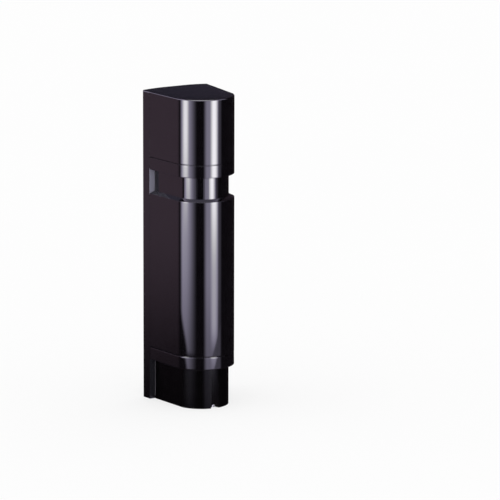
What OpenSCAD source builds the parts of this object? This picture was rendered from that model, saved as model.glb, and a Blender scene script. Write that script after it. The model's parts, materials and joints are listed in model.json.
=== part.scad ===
// Quad beam sensor: a tower with two optical units behind a glossy smoked cover.
// +Z is up, the front faces -Y and the wall is at +Y. All sizes are in millimetres.

/* [Body] */
// Rise of the crowned top above its rim
crown_h = 1; // [0.6:0.2:3]
// Width across the back
back_w = 86.4; // [85.4:0.2:90]
// Width across the front arrises
front_w = 73; // [72:0.5:74]
// Depth from the wall to the front
body_d = 98; // [96:1:104]
// Depth of the curved front, from its middle to the arrises
front_bulge = 28; // [24:0.5:32]
// Radius of the edge round the top
rim_r = 1.4; // [0.8:0.2:2]

/* [Cover sections] */
// Height of the recessed base
base_h = 47; // [44:1:50]
// Height of the band under the lower cover
lower_band_h = 15; // [12:1:17]
// Height of the lower cover
lower_cover_h = 180; // [160:2:220]
// Height of the upper cover above its band
upper_cover_h = 75; // [70:1:84]
// Height of the band under the upper cover
upper_band_h = 15; // [12:1:17]
// Height of the recessed neck between the covers
neck_h = 28; // [22:1:32]
// Depth of the recess at the neck and the base
recess_d = 6.4; // [5.6:0.2:6.8]
// Height of the sloping ledge over the lower cover
ledge_h = 2.5; // [1.5:0.5:4]
// Flat left at the top of that ledge
ledge_flat = 0.4; // [0.2:0.1:0.8]
// Wall of the covers
cover_wall = 2.2; // [1.8:0.1:2.4]
// Wall of the top, under the crown
top_wall = 3; // [2:0.2:4]
// Floor of the bands and of the base
floor_t = 2.5; // [2:0.1:3]
// Open seam between two mouldings
seam_gap = 0.4; // [0.2:0.1:0.6]
// Clearance between pieces that seat in each other
fit_gap = 0.1; // [0.08:0.02:0.2]
// Running clearance of pins and shafts, on the radius
run_gap = 0.05; // [0.03:0.01:0.08]
// Height of the tongue that joins a band to its cover
tongue_h = 4; // [3:0.5:6]
// Thickness of that tongue
tongue_t = 1.2; // [1:0.1:1.6]

/* [Rear chassis] */
// Depth of the chassis side, from the wall to the seam
flange_d = 14.4; // [13.4:0.2:16]
// Thickness of the chassis back wall
back_wall_t = 4; // [3.6:0.2:4.6]
// Thickness of the chassis side walls
side_wall_t = 2.6; // [2.2:0.2:3]
// Thickness of the front rim
rim_t = 2.5; // [2:0.1:3]
// Width of the front rim
rim_w = 9.8; // [9.4:0.2:10.4]
// Radius of the wiring hole
wire_hole_r = 10; // [9:0.2:10.2]
// Height of the wiring hole above the base
wire_hole_z = 23.5; // [23:0.1:24]

/* [Mounting plate] */
// Distance from each side of the body to the plate
plate_side = 13.2; // [12:0.2:15]
// Distance from the plate to the base and to the rim
plate_end = 20; // [16:1:30]
// Thickness of the plate
plate_t = 1.5; // [1:0.1:1.8]
// Distance from a side of the plate to the wall screws
wall_screw_side = 5; // [4:0.5:7]
// Distance from the rim to the upper wall screws
wall_screw_drop = 28; // [26:1:32]
// Distance between the wall screws, up
wall_dz = 240; // [236:1:244]
// Radius of the wall screw holes
wall_hole_r = 2.6; // [2.2:0.1:3]

/* [Optical units] */
// Room between the upper unit and the inside of the top
head_room = 8.3; // [8:0.1:9]
// Room between the terminals and the lower shelf
foot_room = 2; // [1:0.5:5]
// Thickness of the shelves
shelf_t = 3; // [2.5:0.1:3.5]
// Room between the turntables and the inside of the neck
turn_room = 4.17; // [3:0.01:5]
// Thickness of the turntables
turn_t = 2.5; // [2:0.1:3]
// Radius of the turntable's pivot
pivot_r = 5; // [4:0.5:6]
// Half the height of a lens block
block_hh = 31; // [30:0.5:31.5]
// Lens block in front of the pan axis
block_front = 17; // [16:0.5:17.4]
// Lens block behind the pan axis
block_rear = 15; // [14:0.5:16]
// Room between the turntable and the lens block
under_gap = 8; // [8:0.5:9]
// Radius of the tilt pins
tilt_pin_r = 1.75; // [1.5:0.05:2]
// Radius of the lens domes
dome_r = 60; // [50:5:80]
// Thickness of the lens plates
lens_t = 2; // [1.6:0.1:2.2]

/* [Controls] */
// Room between the lower unit and the control housing
control_foot_room = 7.3; // [7:0.1:10]
// Room between the control housing and the upper shelf
control_head_room = 7; // [7:0.1:9]
// Room between the control housing and the chassis rim, to each side
control_side_room = 4.6; // [4:0.1:6]
// Wall of the control housing
control_wall = 2; // [1.6:0.1:2.4]
// Distance of the control panel from the back wall
control_d = 31; // [30:0.5:34]
// Thickness of the circuit boards
board_t = 1.6; // [1.2:0.2:2]
// Radius of the selector knobs
knob_r = 7; // [6:0.5:8]
// Radius of the selector shafts
shaft_r = 3; // [2.5:0.1:3.4]
// Distance between two screw terminals
terminal_pitch = 5.8; // [5:0.1:8]
// Travel of the tamper plunger
plunger_travel = 2; // [1.5:0.1:2.5]
// Travel of the mode slider to each side
slider_travel = 3; // [2:0.2:3.4]

/* [Hidden] */
$fn = 96;
// Overrun of every cut past the face that it leaves
over = 1;
// Depth by which the pieces of one solid run into each other
film = 0.01;

// Levels of the cover's sections, and height of the body at its rim
lower_band_z = base_h;
lower_cover_z = lower_band_z + lower_band_h;
neck_z = lower_cover_z + lower_cover_h;
upper_band_z = neck_z + neck_h;
upper_cover_z = upper_band_z + upper_band_h;
body_h = upper_cover_z + upper_cover_h;

// Plan of the body, which is the same at every level: the front arc meets the sides at the arrises
front_y = -body_d / 2;
back_y = body_d / 2;
front_r = (front_bulge * front_bulge + front_w * front_w / 4) / (2 * front_bulge);
arc_y = front_y + front_r;
arris_y = front_y + front_bulge;
taper = atan((back_w - front_w) / 2 / (back_y - arris_y));
side_reach = front_w / 2 * cos(taper) - (arris_y - arc_y) * sin(taper);
seam_y = back_y - flange_d;
floor_y = back_y - back_wall_t;
rim_back_y = seam_y + rim_t;
rear_chamfer = 1.6;

// Top, in slopes that follow the outline: the crown, and the rounded rim in shares of its radius
crown_steps = 4;
crown_inset = 30;
rim_shares = [[0, 0], [2 / 7, 5 / 7], [1, 1]];
edge_chamfer = 0.8;
// Level from which the slopes of the top start
cap_z = body_h - rim_r - over;

// Seal between the cover and the chassis
gasket_t = 1.5;
gasket_in = 9.6;
gasket_out = 6.6;
gasket_base = 3.2;
neck_lap = 8;
skirt_lap = 8;
shell_back_y = seam_y - gasket_t - fit_gap;
cover_back_y = seam_y - seam_gap;

// Cover lock: a captive screw under the front of the base, and the bracket that it grips
lock_in = 7.5;
lock_y = front_y + recess_d + lock_in;
lock_head_r = 4;
lock_head_h = 3;
lock_head_lift = 0.6;
lock_recess_r = 4.8;
lock_recess_h = 4;
lock_boss_r = 6.5;
lock_boss_h = 8;
lock_shank_r = 2;
lock_collar_r = 3.8;
lock_collar_h = 2.4;
lock_slot_w = 1;
lock_slot_d = 1.2;
notch_r = 5;
bracket_gap = 0.3;
bracket_t = 2;
bracket_hw = 5;
bracket_front_gap = 0.9;
fork_gap = 0.8;
bracket_screw_z = (floor_t + lock_boss_h + bracket_gap) / 2;

// Tongue at the top of the cover, which passes a slot in the chassis rim and rests on the hanger
tongue_hw = 12;
tongue_drop = 6.4;
tongue_z = body_h - tongue_drop;
tongue_end_t = 2;
tongue_root_d = 9;
tongue_root_y = seam_y - tongue_root_d;
tongue_reach = 5.4;
tongue_end_y = seam_y + tongue_reach;
tongue_gap = 0.3;
hanger_hw = 14;
hanger_t = 1.6;
hanger_d = 7.4;
hanger_foot_h = 16;
hanger_screw_x = 8;
hanger_top_z = tongue_z - tongue_gap;

// Chassis details
plate_gap = 0.15;
plate_w = back_w - 2 * plate_side;
wall_dx = plate_w - 2 * wall_screw_side;
wall_screw_zs = [body_h - wall_screw_drop - wall_dz, body_h - wall_screw_drop];
access_r = 5.2;
wire_wall = 2;
rib_t = 1.6;
rib_h = 3;
rib_gap = 1;
rib_x = wall_dx / 2 + access_r + rib_gap + rib_t / 2;
rib_in = rib_x - rib_t / 2;
grommet_lip = 1.6;
grommet_lip_t = 1.5;
grommet_bore_r = 7;
plate_screw_up = 40;
plate_screw_x = 14.5;
post_r = 4;

// Pan-head screws that hold brackets and boards
screw_r = 1.5;
screw_head_r = 2.8;
screw_head_h = 1.8;
screw_bite = 3;
bracket_bite = 2;
press_gap = 0.02;
screw_slot_w = 0.7;
screw_slot_d = 0.8;

// Shelves that carry the turntables
shelf_nose_r = 16;
shelf_foot_t = 3;
shelf_foot_side = 6.2;
shelf_foot_hw = rib_in - shelf_foot_side;
shelf_foot_up = 6;
shelf_foot_down = 8;
shelf_screw_side = 5;
shelf_screw_x = shelf_foot_hw - shelf_screw_side;
shelf_screw_drop = 2;
gusset_t = 2;
gusset_x = 12;
gusset_h = 7.5;
gusset_reach = 36;

// Turntable, its clip, yoke and tilt screw
turn_r = reach(recess_d + cover_wall) - turn_room;
turn_gap = 0.2;
unit_h = turn_gap + turn_t + under_gap + 2 * block_hh;
clip_r = 7.5;
clip_t = 1.2;
arm_gap = 1.1;
arm_t = 2.5;
arm_edge = 1.4;
block_hw = turn_r - arm_edge - arm_t - arm_gap;
arm_hd = 5;
arm_foot_hd = 9;
pin_head_r = 3;
pin_head_t = 0.8;
pin_bite = 4;
tilt_screw_r = 1.3;
tilt_screw_z = 3.2;
tilt_head_r = 2.6;
tilt_head_t = 2.4;
tilt_head_gap = 0.3;
tilt_lug_t = 3;
tilt_lug_hw = 3.6;
tilt_lug_h = 5.8;
tilt_lug_front = -15.5;
tilt_lug_rear = 9;
tail_hw = 4;
tail_t = 3;
tail_h = 5.6;
tail_gap = 0.6;
knurl_count = 24;
knurl_r = 0.7;

// Lens block, its lenses, board and sight
lens_mid_share = 0.55;
lens_side = 2.1;
lens_hh = 12.2;
lens_hw = block_hw - lens_side;
tunnel_hh = 11.3;
tunnel_step = 1.2;
tunnel_hw = lens_hw - tunnel_step;
lens_seat_d = 3;
bezel_t = 0.9;
bezel_rim = 1.6;
board_seat_d = 2;
board_inset = 1.2;
emitter_r = 2.5;
emitter_len = 6;
emitter_flange_r = 3.6;
emitter_flange_t = 1.5;
sight_hh = 3.2;
sight_front = 15.5;
sight_rear = 5.4;
sight_side = 5.5;
sight_hw = block_hw - sight_side;
sight_nose_hw = 2;
sight_tail_side = 3;
sight_tail_hw = sight_hw - sight_tail_side;
mirror_t = 0.8;

// Terminals over the wiring hole
terminal_gap = 0.9;
terminal_z = wire_hole_z + wire_hole_r + grommet_lip + terminal_gap;
terminal_base_h = 21;
terminal_base_side = 5.2;
terminal_base_hw = rib_in - terminal_base_side;
terminal_base_t = 5;
terminal_side = 1;
terminal_d = 14;
terminal_hw = terminal_base_hw - terminal_side;
terminal_h = 15;
terminal_step = 5;
terminal_edge = 1.5;
terminal_count = floor(2 * (terminal_hw - terminal_edge) / terminal_pitch);
barrier_t = 0.9;
terminal_head_r = terminal_pitch / 2 - barrier_t - fit_gap;
terminal_head_h = 1.4;
terminal_slot_side = 0.3;
terminal_slot_w = terminal_pitch - 2 * barrier_t - 2 * terminal_slot_side;
terminal_slot_d = 4;

// Levels inside: the lower unit stands over the terminals, the upper one hangs under the top, and the
// control housing fills the height between them
lower_shelf_z = terminal_z + terminal_base_h + foot_room + shelf_foot_down + shelf_t;
upper_shelf_z = body_h - top_wall - head_room - unit_h;
plate_screw_zs = [lower_shelf_z + plate_screw_up, upper_shelf_z + plate_screw_up];
control_z = lower_shelf_z + unit_h + control_foot_room;
control_h = upper_shelf_z - shelf_t - shelf_foot_down - control_head_room - control_z;
control_hw = half_w(rim_w, seam_y) - control_side_room;

// Controls on the panel: places are across and above the housing's underside
panel_y = floor_y - control_d;
board_room = 10;
board_front_y = panel_y + board_room;
board_margin = 0.6;
board_hw = control_hw - control_wall - board_margin;
standoff_r = 3;
standoff_side = 3.8;
standoff_x = board_hw - standoff_side;
standoff_edge = 7;
knob_h = 4;
knob_gap = 0.6;
knob_apart = 12;
knob_x = knob_r + knob_apart / 2;
knob_drop = 20;
knob_z = control_h - knob_drop;
knob_mark_w = 1.2;
knob_mark_d = 1;
trimmer_r = 3.5;
trimmer_h = 2.4;
trimmer_shaft_r = 2;
shaft_len = 7;
mode_hw = 8;
mode_hh = 4;
mode_side = 2.4;
mode_x = -(control_hw - control_wall - mode_side - mode_hw);
mode_z = 42;
mode_lip = 1;
trimmer_up = 22;
trimmer_z = mode_z + trimmer_up;
slider_hw = 2;
slider_hh = 2;
slider_out = 2.4;
slider_in = 3;
slider_gap = 0.1;
led_r = 2.5;
led_drop = 6;
led_z = control_h - led_drop;
led_side = 1.7;
led_pitch = standoff_x - screw_head_r - led_r - led_side;
led_out = 2;
pin_block_hw = 5.5;
pin_block_hh = 3;
pin_block_out = 0.8;
pin_x = control_hw - control_wall - mode_side - pin_block_hw;
pin_pitch = 5;
pin_r = 1;
pin_out = 3;

// Parts on the main board: width, depth and height, and places across and above the housing's underside
part_side = 0.8;
part_gap = 2;
socket_size = [9, 6, 5];
socket_z = 8;
relay_size = [18, 7, 22];
relay_z = 24;
chip_size = [14, 2.2, 14];
chip_z = 22;
chip_side_x = board_hw - part_side - chip_size[0] / 2;
chip_places = [
    [chip_side_x, chip_z],
    [chip_side_x, mode_z + pin_block_hh + part_gap + chip_size[2] / 2],
    [-chip_side_x, mode_z + mode_hh + part_gap + chip_size[2] / 2]
];
relay_place = [relay_size[0] / 2 + part_side - board_hw, relay_z];
cap_r = 4;
cap_h = 7;
cap_x = cap_r + part_gap / 2;
cap_places = [[-cap_x, knob_z], [cap_x, knob_z]];
socket_x = (socket_size[0] + part_gap) / 2;
socket_places = [[-socket_x, socket_z], [socket_x, socket_z]];

// Tamper switch: the lug inside the neck pushes its plunger
tamper_side = 0.4;
tamper_z = (control_z + control_h + upper_shelf_z - shelf_t - shelf_foot_down) / 2;
tamper_hw = 3.4;
tamper_x = rib_in - tamper_side - tamper_hw;
tamper_hh = 3.3;
tamper_body_d = 7;
plunger_r = 1.6;
plunger_gap = 0.3;
plunger_bite = 3;
tamper_lug_t = 3;
tamper_lug_hh = 3.2;

gloss_black = "#15141a";
satin_black = "#1d1c20";
board_green = "#1d5a38";
steel = "#b9bcc0";
rubber_black = "#222222";
cream = "#d8d2c0";

// Distance of a side wall from the front arc's centre, and half the width there at y
function reach(inset) = side_reach - inset;
function half_w(inset, y) = (reach(inset) + (y - arc_y) * sin(taper)) / cos(taper);
// Height and inset of a corner of the rounded rim, and of the crown at a share of its way in
function rim_z(i) = body_h - rim_r * (1 - rim_shares[i][1]);
function rim_in(i) = rim_r * rim_shares[i][0];
function crown_z(share) = body_h + crown_h * (1 - (1 - share) * (1 - share));
function crown_in(share) = rim_r + (crown_inset - rim_r) * share;
// Tilt axis of the optical unit whose shelf top is at z
function tilt_z(z) = z + turn_gap + turn_t + under_gap + block_hh;
// Top of that unit's turntable
function turn_top(z) = z + turn_gap + turn_t;

// Plan of the body, moved in by inset and cut off behind at y = rear
module outline(inset = 0, rear = back_y) {
    foot_y = arc_y - reach(inset) * sin(taper);
    intersection() {
        union() {
            translate([0, arc_y]) circle(front_r - inset);
            translate([-back_w, foot_y]) square([2 * back_w, rear - foot_y]);
        }
        polygon([
            [-half_w(inset, front_y - over), front_y - over],
            [half_w(inset, front_y - over), front_y - over],
            [half_w(inset, rear), rear],
            [-half_w(inset, rear), rear]
        ]);
    }
}

module prism(z0, z1, inset = 0, rear = back_y) {
    translate([0, 0, z0]) linear_extrude(z1 - z0) outline(inset, rear);
}

// Wall between two insets
module ring(z0, z1, inset, wall, rear) {
    difference() {
        prism(z0, z1, inset, rear);
        prism(z0 - over, z1 + over, inset + wall, rear + over);
    }
}

// Everything on the inner side of a sloping side wall
module side_wedge(h, inset0, inset1) {
    translate([0, arc_y, 0]) rotate([0, 0, -taper]) translate([0, body_d, 0])
        rotate([90, 0, 0]) linear_extrude(2 * body_d) polygon([
            [-back_w, 0], [reach(inset0), 0], [reach(inset1), h], [-back_w, h]
        ]);
}

// Bevel whose plan goes from inset0 at z to inset1 at z + h
module bevel(z, h, inset0, inset1, rear) {
    foot_y = arc_y - reach(max(inset0, inset1)) * sin(taper);
    translate([0, 0, z]) intersection() {
        union() {
            translate([0, arc_y, 0])
                cylinder(r1 = front_r - inset0, r2 = front_r - inset1, h = h);
            translate([-back_w, foot_y, 0]) cube([2 * back_w, rear - foot_y, h]);
        }
        side_wedge(h, inset0, inset1);
        mirror([1, 0, 0]) side_wedge(h, inset0, inset1);
    }
}

// All between two levels that lies inside a slope, which goes from inset0 at z0 to inset1 at z1
module inside_slope(low, high, z0, z1, inset0, inset1) {
    run = (inset1 - inset0) / (z1 - z0);
    bevel(low, high - low, inset0 + run * (low - z0), inset0 + run * (high - z0), back_y);
}

// The whole body above z, with its rounded rim and crowned top
module crowned_body(z) {
    union() {
        prism(z, cap_z + over / 2);
        intersection() {
            prism(cap_z, body_h + crown_h);
            intersection_for (i = [0 : len(rim_shares) - 2])
                inside_slope(cap_z, body_h + crown_h, rim_z(i), rim_z(i + 1), rim_in(i), rim_in(i + 1));
            intersection_for (i = [0 : crown_steps - 1])
                inside_slope(cap_z, body_h + crown_h,
                             crown_z(i / crown_steps), crown_z((i + 1) / crown_steps),
                             crown_in(i / crown_steps), crown_in((i + 1) / crown_steps));
        }
    }
}

// Corner of the chassis at the wall, to be cut away
module corner_cut() {
    x = half_w(0, back_y);
    translate([0, 0, -over]) linear_extrude(body_h + crown_h + 2 * over) polygon([
        [x - rear_chamfer - over, back_y + over], [x + 2 * rear_chamfer, back_y + over],
        [x + 2 * rear_chamfer, back_y - 3 * rear_chamfer]
    ]);
}

// Everything in front of y, or behind it
module ahead_of(y) {
    translate([-back_w, y - 2 * body_d, -over]) cube([2 * back_w, 2 * body_d, body_h + crown_h + 2 * over]);
}
module behind(y) {
    translate([-back_w, y, -over]) cube([2 * back_w, 2 * body_d, body_h + crown_h + 2 * over]);
}

// Box between two corners
module span(from, to) {
    translate(from) cube(to - from);
}

// Cylinder along Y from y0 to y1 at x, z
module rod_y(x, z, y0, y1, r) {
    translate([x, y0, z]) rotate([-90, 0, 0]) cylinder(r = r, h = y1 - y0);
}

// Pan-head screw along Y whose head sits in front of y
module screw_y(x, z, y, bite = screw_bite) {
    difference() {
        union() {
            rod_y(x, z, y - screw_head_h, y, screw_head_r);
            rod_y(x, z, y - film, y + bite, screw_r);
        }
        span([x - screw_head_r - over, y - screw_head_h - over, z - screw_slot_w / 2],
             [x + screw_head_r + over, y - screw_head_h + screw_slot_d, z + screw_slot_w / 2]);
    }
}

// Cover

module upper_cover() {
    color(gloss_black) union() {
        difference() {
            intersection() {
                crowned_body(upper_cover_z);
                ahead_of(cover_back_y);
            }
            prism(upper_cover_z - over, body_h - top_wall, cover_wall, seam_y + over);
        }
        span([-tongue_hw, tongue_root_y, tongue_z], [tongue_hw, cover_back_y, body_h - top_wall + film]);
        span([-tongue_hw, tongue_root_y, tongue_z], [tongue_hw, tongue_end_y, tongue_z + tongue_end_t]);
    }
}

// Band below a cover: its floor reaches in to the shell behind, its tongue reaches up inside the cover
module band(z, h) {
    color(gloss_black) difference() {
        union() {
            difference() {
                intersection() {
                    prism(z, z + h - seam_gap, 0, cover_back_y);
                    inside_slope(z, z + h, z, z + edge_chamfer, edge_chamfer, 0);
                }
                prism(z + floor_t, z + h + over, cover_wall, seam_y);
            }
            ring(z + h - seam_gap - tongue_h, z + h + tongue_h, cover_wall - film, tongue_t, cover_back_y);
            ring(z + h - seam_gap - tongue_h, z + h - seam_gap,
                 cover_wall - tongue_t, 2 * tongue_t, cover_back_y);
        }
        ring(z + h - seam_gap, z + h + tongue_h + over, cover_wall - tongue_t, tongue_t + fit_gap, seam_y);
        prism(z - over, z + h + tongue_h + over, recess_d - fit_gap, seam_y);
    }
}
module upper_band() { band(upper_band_z, upper_band_h); }
module lower_band() { band(lower_band_z, lower_band_h); }

module lower_cover() {
    top = neck_z + ledge_h;
    color(gloss_black) difference() {
        union() {
            prism(lower_cover_z, neck_z - over / 2, 0, cover_back_y);
            intersection() {
                prism(neck_z - over, top, 0, cover_back_y);
                inside_slope(neck_z - over, top, neck_z, top, 0, recess_d - fit_gap - ledge_flat);
            }
        }
        prism(lower_cover_z - over, neck_z - cover_wall, cover_wall, seam_y);
        prism(neck_z - cover_wall - over, top + over, recess_d - fit_gap, seam_y);
    }
}

module neck_shell() {
    z0 = neck_z - neck_lap;
    z1 = upper_band_z + neck_lap;
    color(gloss_black) union() {
        ring(z0, z1, recess_d, cover_wall, shell_back_y);
        // Lug that holds the tamper plunger in
        intersection() {
            span([tamper_x - tamper_hw, shell_back_y - tamper_lug_t, tamper_z - tamper_lug_hh],
                 [back_w, shell_back_y, tamper_z + tamper_lug_hh]);
            prism(z0, z1, recess_d + cover_wall / 2, shell_back_y);
        }
    }
}

module base_skirt() {
    color(satin_black) difference() {
        union() {
            difference() {
                prism(0, base_h + skirt_lap, recess_d, shell_back_y);
                prism(floor_t, base_h + skirt_lap + over, recess_d + cover_wall, seam_y);
            }
            intersection() {
                translate([0, lock_y, 0]) cylinder(r = lock_boss_r, h = lock_boss_h);
                prism(0, lock_boss_h, recess_d);
            }
        }
        translate([0, lock_y, -over]) cylinder(r = lock_shank_r + run_gap, h = lock_boss_h + 2 * over);
        translate([0, lock_y, -over]) cylinder(r = lock_recess_r, h = lock_recess_h + over);
        rod_y(0, 0, front_y, lock_y - lock_recess_r + over, notch_r);
    }
}

module lock_screw() {
    collar_z = lock_boss_h + bracket_gap + bracket_t + bracket_gap;
    color(steel) translate([0, lock_y, 0]) difference() {
        union() {
            translate([0, 0, lock_head_lift]) cylinder(r = lock_head_r, h = lock_head_h);
            translate([0, 0, lock_head_lift]) cylinder(r = lock_shank_r, h = collar_z + lock_collar_h);
            translate([0, 0, collar_z]) cylinder(r = lock_collar_r, h = lock_collar_h);
        }
        span([-lock_slot_w / 2, -lock_head_r - over, 0],
             [lock_slot_w / 2, lock_head_r + over, lock_head_lift + lock_slot_d]);
        span([-lock_head_r - over, -lock_slot_w / 2, 0],
             [lock_head_r + over, lock_slot_w / 2, lock_head_lift + lock_slot_d]);
    }
}

// Chassis

module rear_chassis() {
    opening_hw = half_w(rim_w, seam_y);
    color(satin_black) difference() {
        union() {
            difference() {
                intersection() {
                    crowned_body(0);
                    behind(seam_y);
                }
                // Room inside
                translate([0, 0, floor_t])
                    linear_extrude(body_h - top_wall - floor_t) polygon([
                        [-half_w(side_wall_t, rim_back_y), rim_back_y],
                        [half_w(side_wall_t, rim_back_y), rim_back_y],
                        [half_w(side_wall_t, floor_y), floor_y],
                        [-half_w(side_wall_t, floor_y), floor_y]
                    ]);
                // Opening in the rim
                span([-opening_hw, seam_y - over, rim_w], [opening_hw, rim_back_y + over, body_h - rim_w]);
                // Slot for the cover's tongue, and notch for the lock bracket
                span([-tongue_hw - tongue_gap, seam_y - over, tongue_z - tongue_gap],
                     [tongue_hw + tongue_gap, rim_back_y + over, tongue_z + tongue_end_t + tongue_gap]);
                span([-bracket_hw - fit_gap, seam_y - over, lock_boss_h + bracket_gap - fit_gap],
                     [bracket_hw + fit_gap, rim_back_y + over, rim_w + over]);
            }
            // Ribs up the back wall, to both sides
            for (s = [-1, 1])
                span([s * rib_x - rib_t / 2, floor_y - rib_h, floor_t - film],
                     [s * rib_x + rib_t / 2, floor_y + film, body_h - top_wall + film]);
            for (z = plate_screw_zs, s = [-1, 1])
                rod_y(s * plate_screw_x, z, floor_y - screw_bite, floor_y + film, post_r);
        }
        corner_cut();
        mirror([1, 0, 0]) corner_cut();
        // Recess for the mounting plate
        span([-plate_w / 2 - plate_gap, back_y - plate_t, plate_end - plate_gap],
             [plate_w / 2 + plate_gap, back_y + over, body_h - plate_end + plate_gap]);
        // Wiring hole, and reach to the wall screws
        rod_y(0, wire_hole_z, floor_y - over, back_y + over, wire_hole_r);
        for (s = [-1, 1], z = wall_screw_zs)
            rod_y(s * wall_dx / 2, z, floor_y - over, back_y + over, access_r);
        for (z = plate_screw_zs, s = [-1, 1])
            rod_y(s * plate_screw_x, z, floor_y - screw_bite - over, back_y + over, screw_r + press_gap);
        for (p = bracket_screw_places())
            rod_y(p[0], p[1], floor_y - over, floor_y + bracket_bite + fit_gap, screw_r + press_gap);
    }
}

// Places of the bracket screws: x, z and the thickness that each one clamps
function bracket_screw_places() = [
    for (z = [upper_shelf_z, lower_shelf_z], s = [-1, 1])
        [s * shelf_screw_x, z + shelf_screw_drop, shelf_foot_t],
    for (s = [-1, 1])
        [s * hanger_screw_x, hanger_top_z - hanger_t - hanger_foot_h / 2, hanger_t],
    [0, bracket_screw_z, bracket_t]
];

module mounting_plate() {
    color(steel) difference() {
        span([-plate_w / 2, back_y - plate_t, plate_end], [plate_w / 2, back_y, body_h - plate_end]);
        for (s = [-1, 1], z = wall_screw_zs)
            rod_y(s * wall_dx / 2, z, floor_y, back_y + over, wall_hole_r);
        for (z = plate_screw_zs, s = [-1, 1])
            rod_y(s * plate_screw_x, z, floor_y, back_y + over, screw_r + press_gap);
        rod_y(0, wire_hole_z, floor_y, back_y + over, wire_hole_r + wire_wall);
    }
}

module plate_screws() {
    color(steel) for (z = plate_screw_zs, s = [-1, 1])
        screw_y(s * plate_screw_x, z, floor_y - screw_bite, screw_bite + back_wall_t - fit_gap);
}

module bracket_screws() {
    color(steel) for (p = bracket_screw_places())
        screw_y(p[0], p[1], floor_y - p[2], p[2] + bracket_bite);
}

module weather_gasket() {
    out_hw = half_w(gasket_out, seam_y);
    in_hw = half_w(gasket_in, seam_y);
    color(rubber_black) difference() {
        span([-out_hw, seam_y - gasket_t, gasket_base], [out_hw, seam_y, body_h - gasket_out]);
        span([-in_hw, seam_y - gasket_t - over, gasket_base + gasket_in - gasket_out],
             [in_hw, seam_y + over, body_h - gasket_in]);
    }
}

module wire_grommet() {
    color(rubber_black) difference() {
        union() {
            rod_y(0, wire_hole_z, floor_y - grommet_lip_t, floor_y - fit_gap, wire_hole_r + grommet_lip);
            rod_y(0, wire_hole_z, floor_y - fit_gap - film, back_y - plate_t, wire_hole_r - fit_gap);
        }
        rod_y(0, wire_hole_z, floor_y - grommet_lip_t - over, back_y + over, grommet_bore_r);
    }
}

module lock_bracket() {
    z0 = lock_boss_h + bracket_gap;
    nose_y = front_y + recess_d + cover_wall + bracket_front_gap;
    color(steel) difference() {
        union() {
            span([-bracket_hw, nose_y, z0], [bracket_hw, floor_y, z0 + bracket_t]);
            span([-bracket_hw, floor_y - bracket_t, floor_t], [bracket_hw, floor_y, z0 + bracket_t]);
        }
        // Fork round the shank
        span([-lock_shank_r - fork_gap, nose_y - over, z0 - over],
             [lock_shank_r + fork_gap, lock_y + lock_shank_r + fork_gap, z0 + bracket_t + over]);
        rod_y(0, bracket_screw_z, floor_y - bracket_t - over, floor_y + over, screw_r + press_gap);
    }
}

module cover_hanger() {
    z1 = hanger_top_z - hanger_t;
    color(steel) union() {
        span([-hanger_hw, floor_y - hanger_d, z1], [hanger_hw, floor_y, z1 + hanger_t]);
        difference() {
            span([-hanger_hw, floor_y - hanger_t, z1 - hanger_foot_h], [hanger_hw, floor_y, z1 + film]);
            for (s = [-1, 1])
                rod_y(s * hanger_screw_x, z1 - hanger_foot_h / 2,
                      floor_y - hanger_t - over, floor_y + over, screw_r + press_gap);
        }
    }
}

// Shelf with its foot on the back wall and two gussets under it
module shelf(z) {
    color(satin_black) difference() {
        union() {
            translate([0, 0, z - shelf_t]) linear_extrude(shelf_t) union() {
                translate([0, arc_y]) circle(shelf_nose_r);
                translate([-shelf_nose_r, arc_y]) square([2 * shelf_nose_r, floor_y - arc_y]);
            }
            span([-shelf_foot_hw, floor_y - shelf_foot_t, z - shelf_t - shelf_foot_down],
                 [shelf_foot_hw, floor_y, z + shelf_foot_up]);
            for (s = [-1, 1])
                translate([s * gusset_x - gusset_t / 2, 0, z - shelf_t + film])
                    rotate([90, 0, 90]) linear_extrude(gusset_t) polygon([
                        [floor_y - shelf_foot_t + film, 0],
                        [floor_y - shelf_foot_t - gusset_reach, 0],
                        [floor_y - shelf_foot_t + film, -gusset_h]
                    ]);
        }
        translate([0, arc_y, z - shelf_t - over]) cylinder(r = pivot_r + run_gap, h = shelf_t + 2 * over);
        for (s = [-1, 1])
            rod_y(s * shelf_screw_x, z + shelf_screw_drop,
                  floor_y - shelf_foot_t - over, floor_y + over, screw_r + press_gap);
    }
}
module upper_shelf() { shelf(upper_shelf_z); }
module lower_shelf() { shelf(lower_shelf_z); }

// Controls

module control_housing() {
    z0 = control_z;
    z1 = control_z + control_h;
    color(satin_black) difference() {
        span([-control_hw, panel_y, z0], [control_hw, floor_y, z1]);
        span([-control_hw + control_wall, panel_y + control_wall, z0 + control_wall],
             [control_hw - control_wall, floor_y + over, z1 - control_wall]);
        for (s = [-1, 1])
            rod_y(s * knob_x, z0 + knob_z, panel_y - over, panel_y + control_wall + over, shaft_r + run_gap);
        rod_y(0, z0 + trimmer_z, panel_y - over, panel_y + control_wall + over, trimmer_shaft_r + run_gap);
        span([mode_x - mode_hw, panel_y - over, z0 + mode_z - mode_hh],
             [mode_x + mode_hw, panel_y + control_wall + over, z0 + mode_z + mode_hh]);
        for (i = [-1 : 1])
            rod_y(i * led_pitch, z0 + led_z, panel_y - over, panel_y + control_wall + over, led_r + fit_gap);
        span([pin_x - pin_block_hw, panel_y - over, z0 + mode_z - pin_block_hh],
             [pin_x + pin_block_hw, panel_y + control_wall + over, z0 + mode_z + pin_block_hh]);
    }
}

module main_board() {
    color(board_green) difference() {
        span([-board_hw, board_front_y, control_z + control_wall + board_margin],
             [board_hw, board_front_y + board_t, control_z + control_h - control_wall - board_margin]);
        for (p = standoff_places())
            rod_y(p[0], p[1], board_front_y - over, board_front_y + board_t + over, screw_r + press_gap);
    }
}

function standoff_places() = [
    for (s = [-1, 1], z = [standoff_edge, control_h - standoff_edge])
        [s * standoff_x, control_z + z]
];

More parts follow.
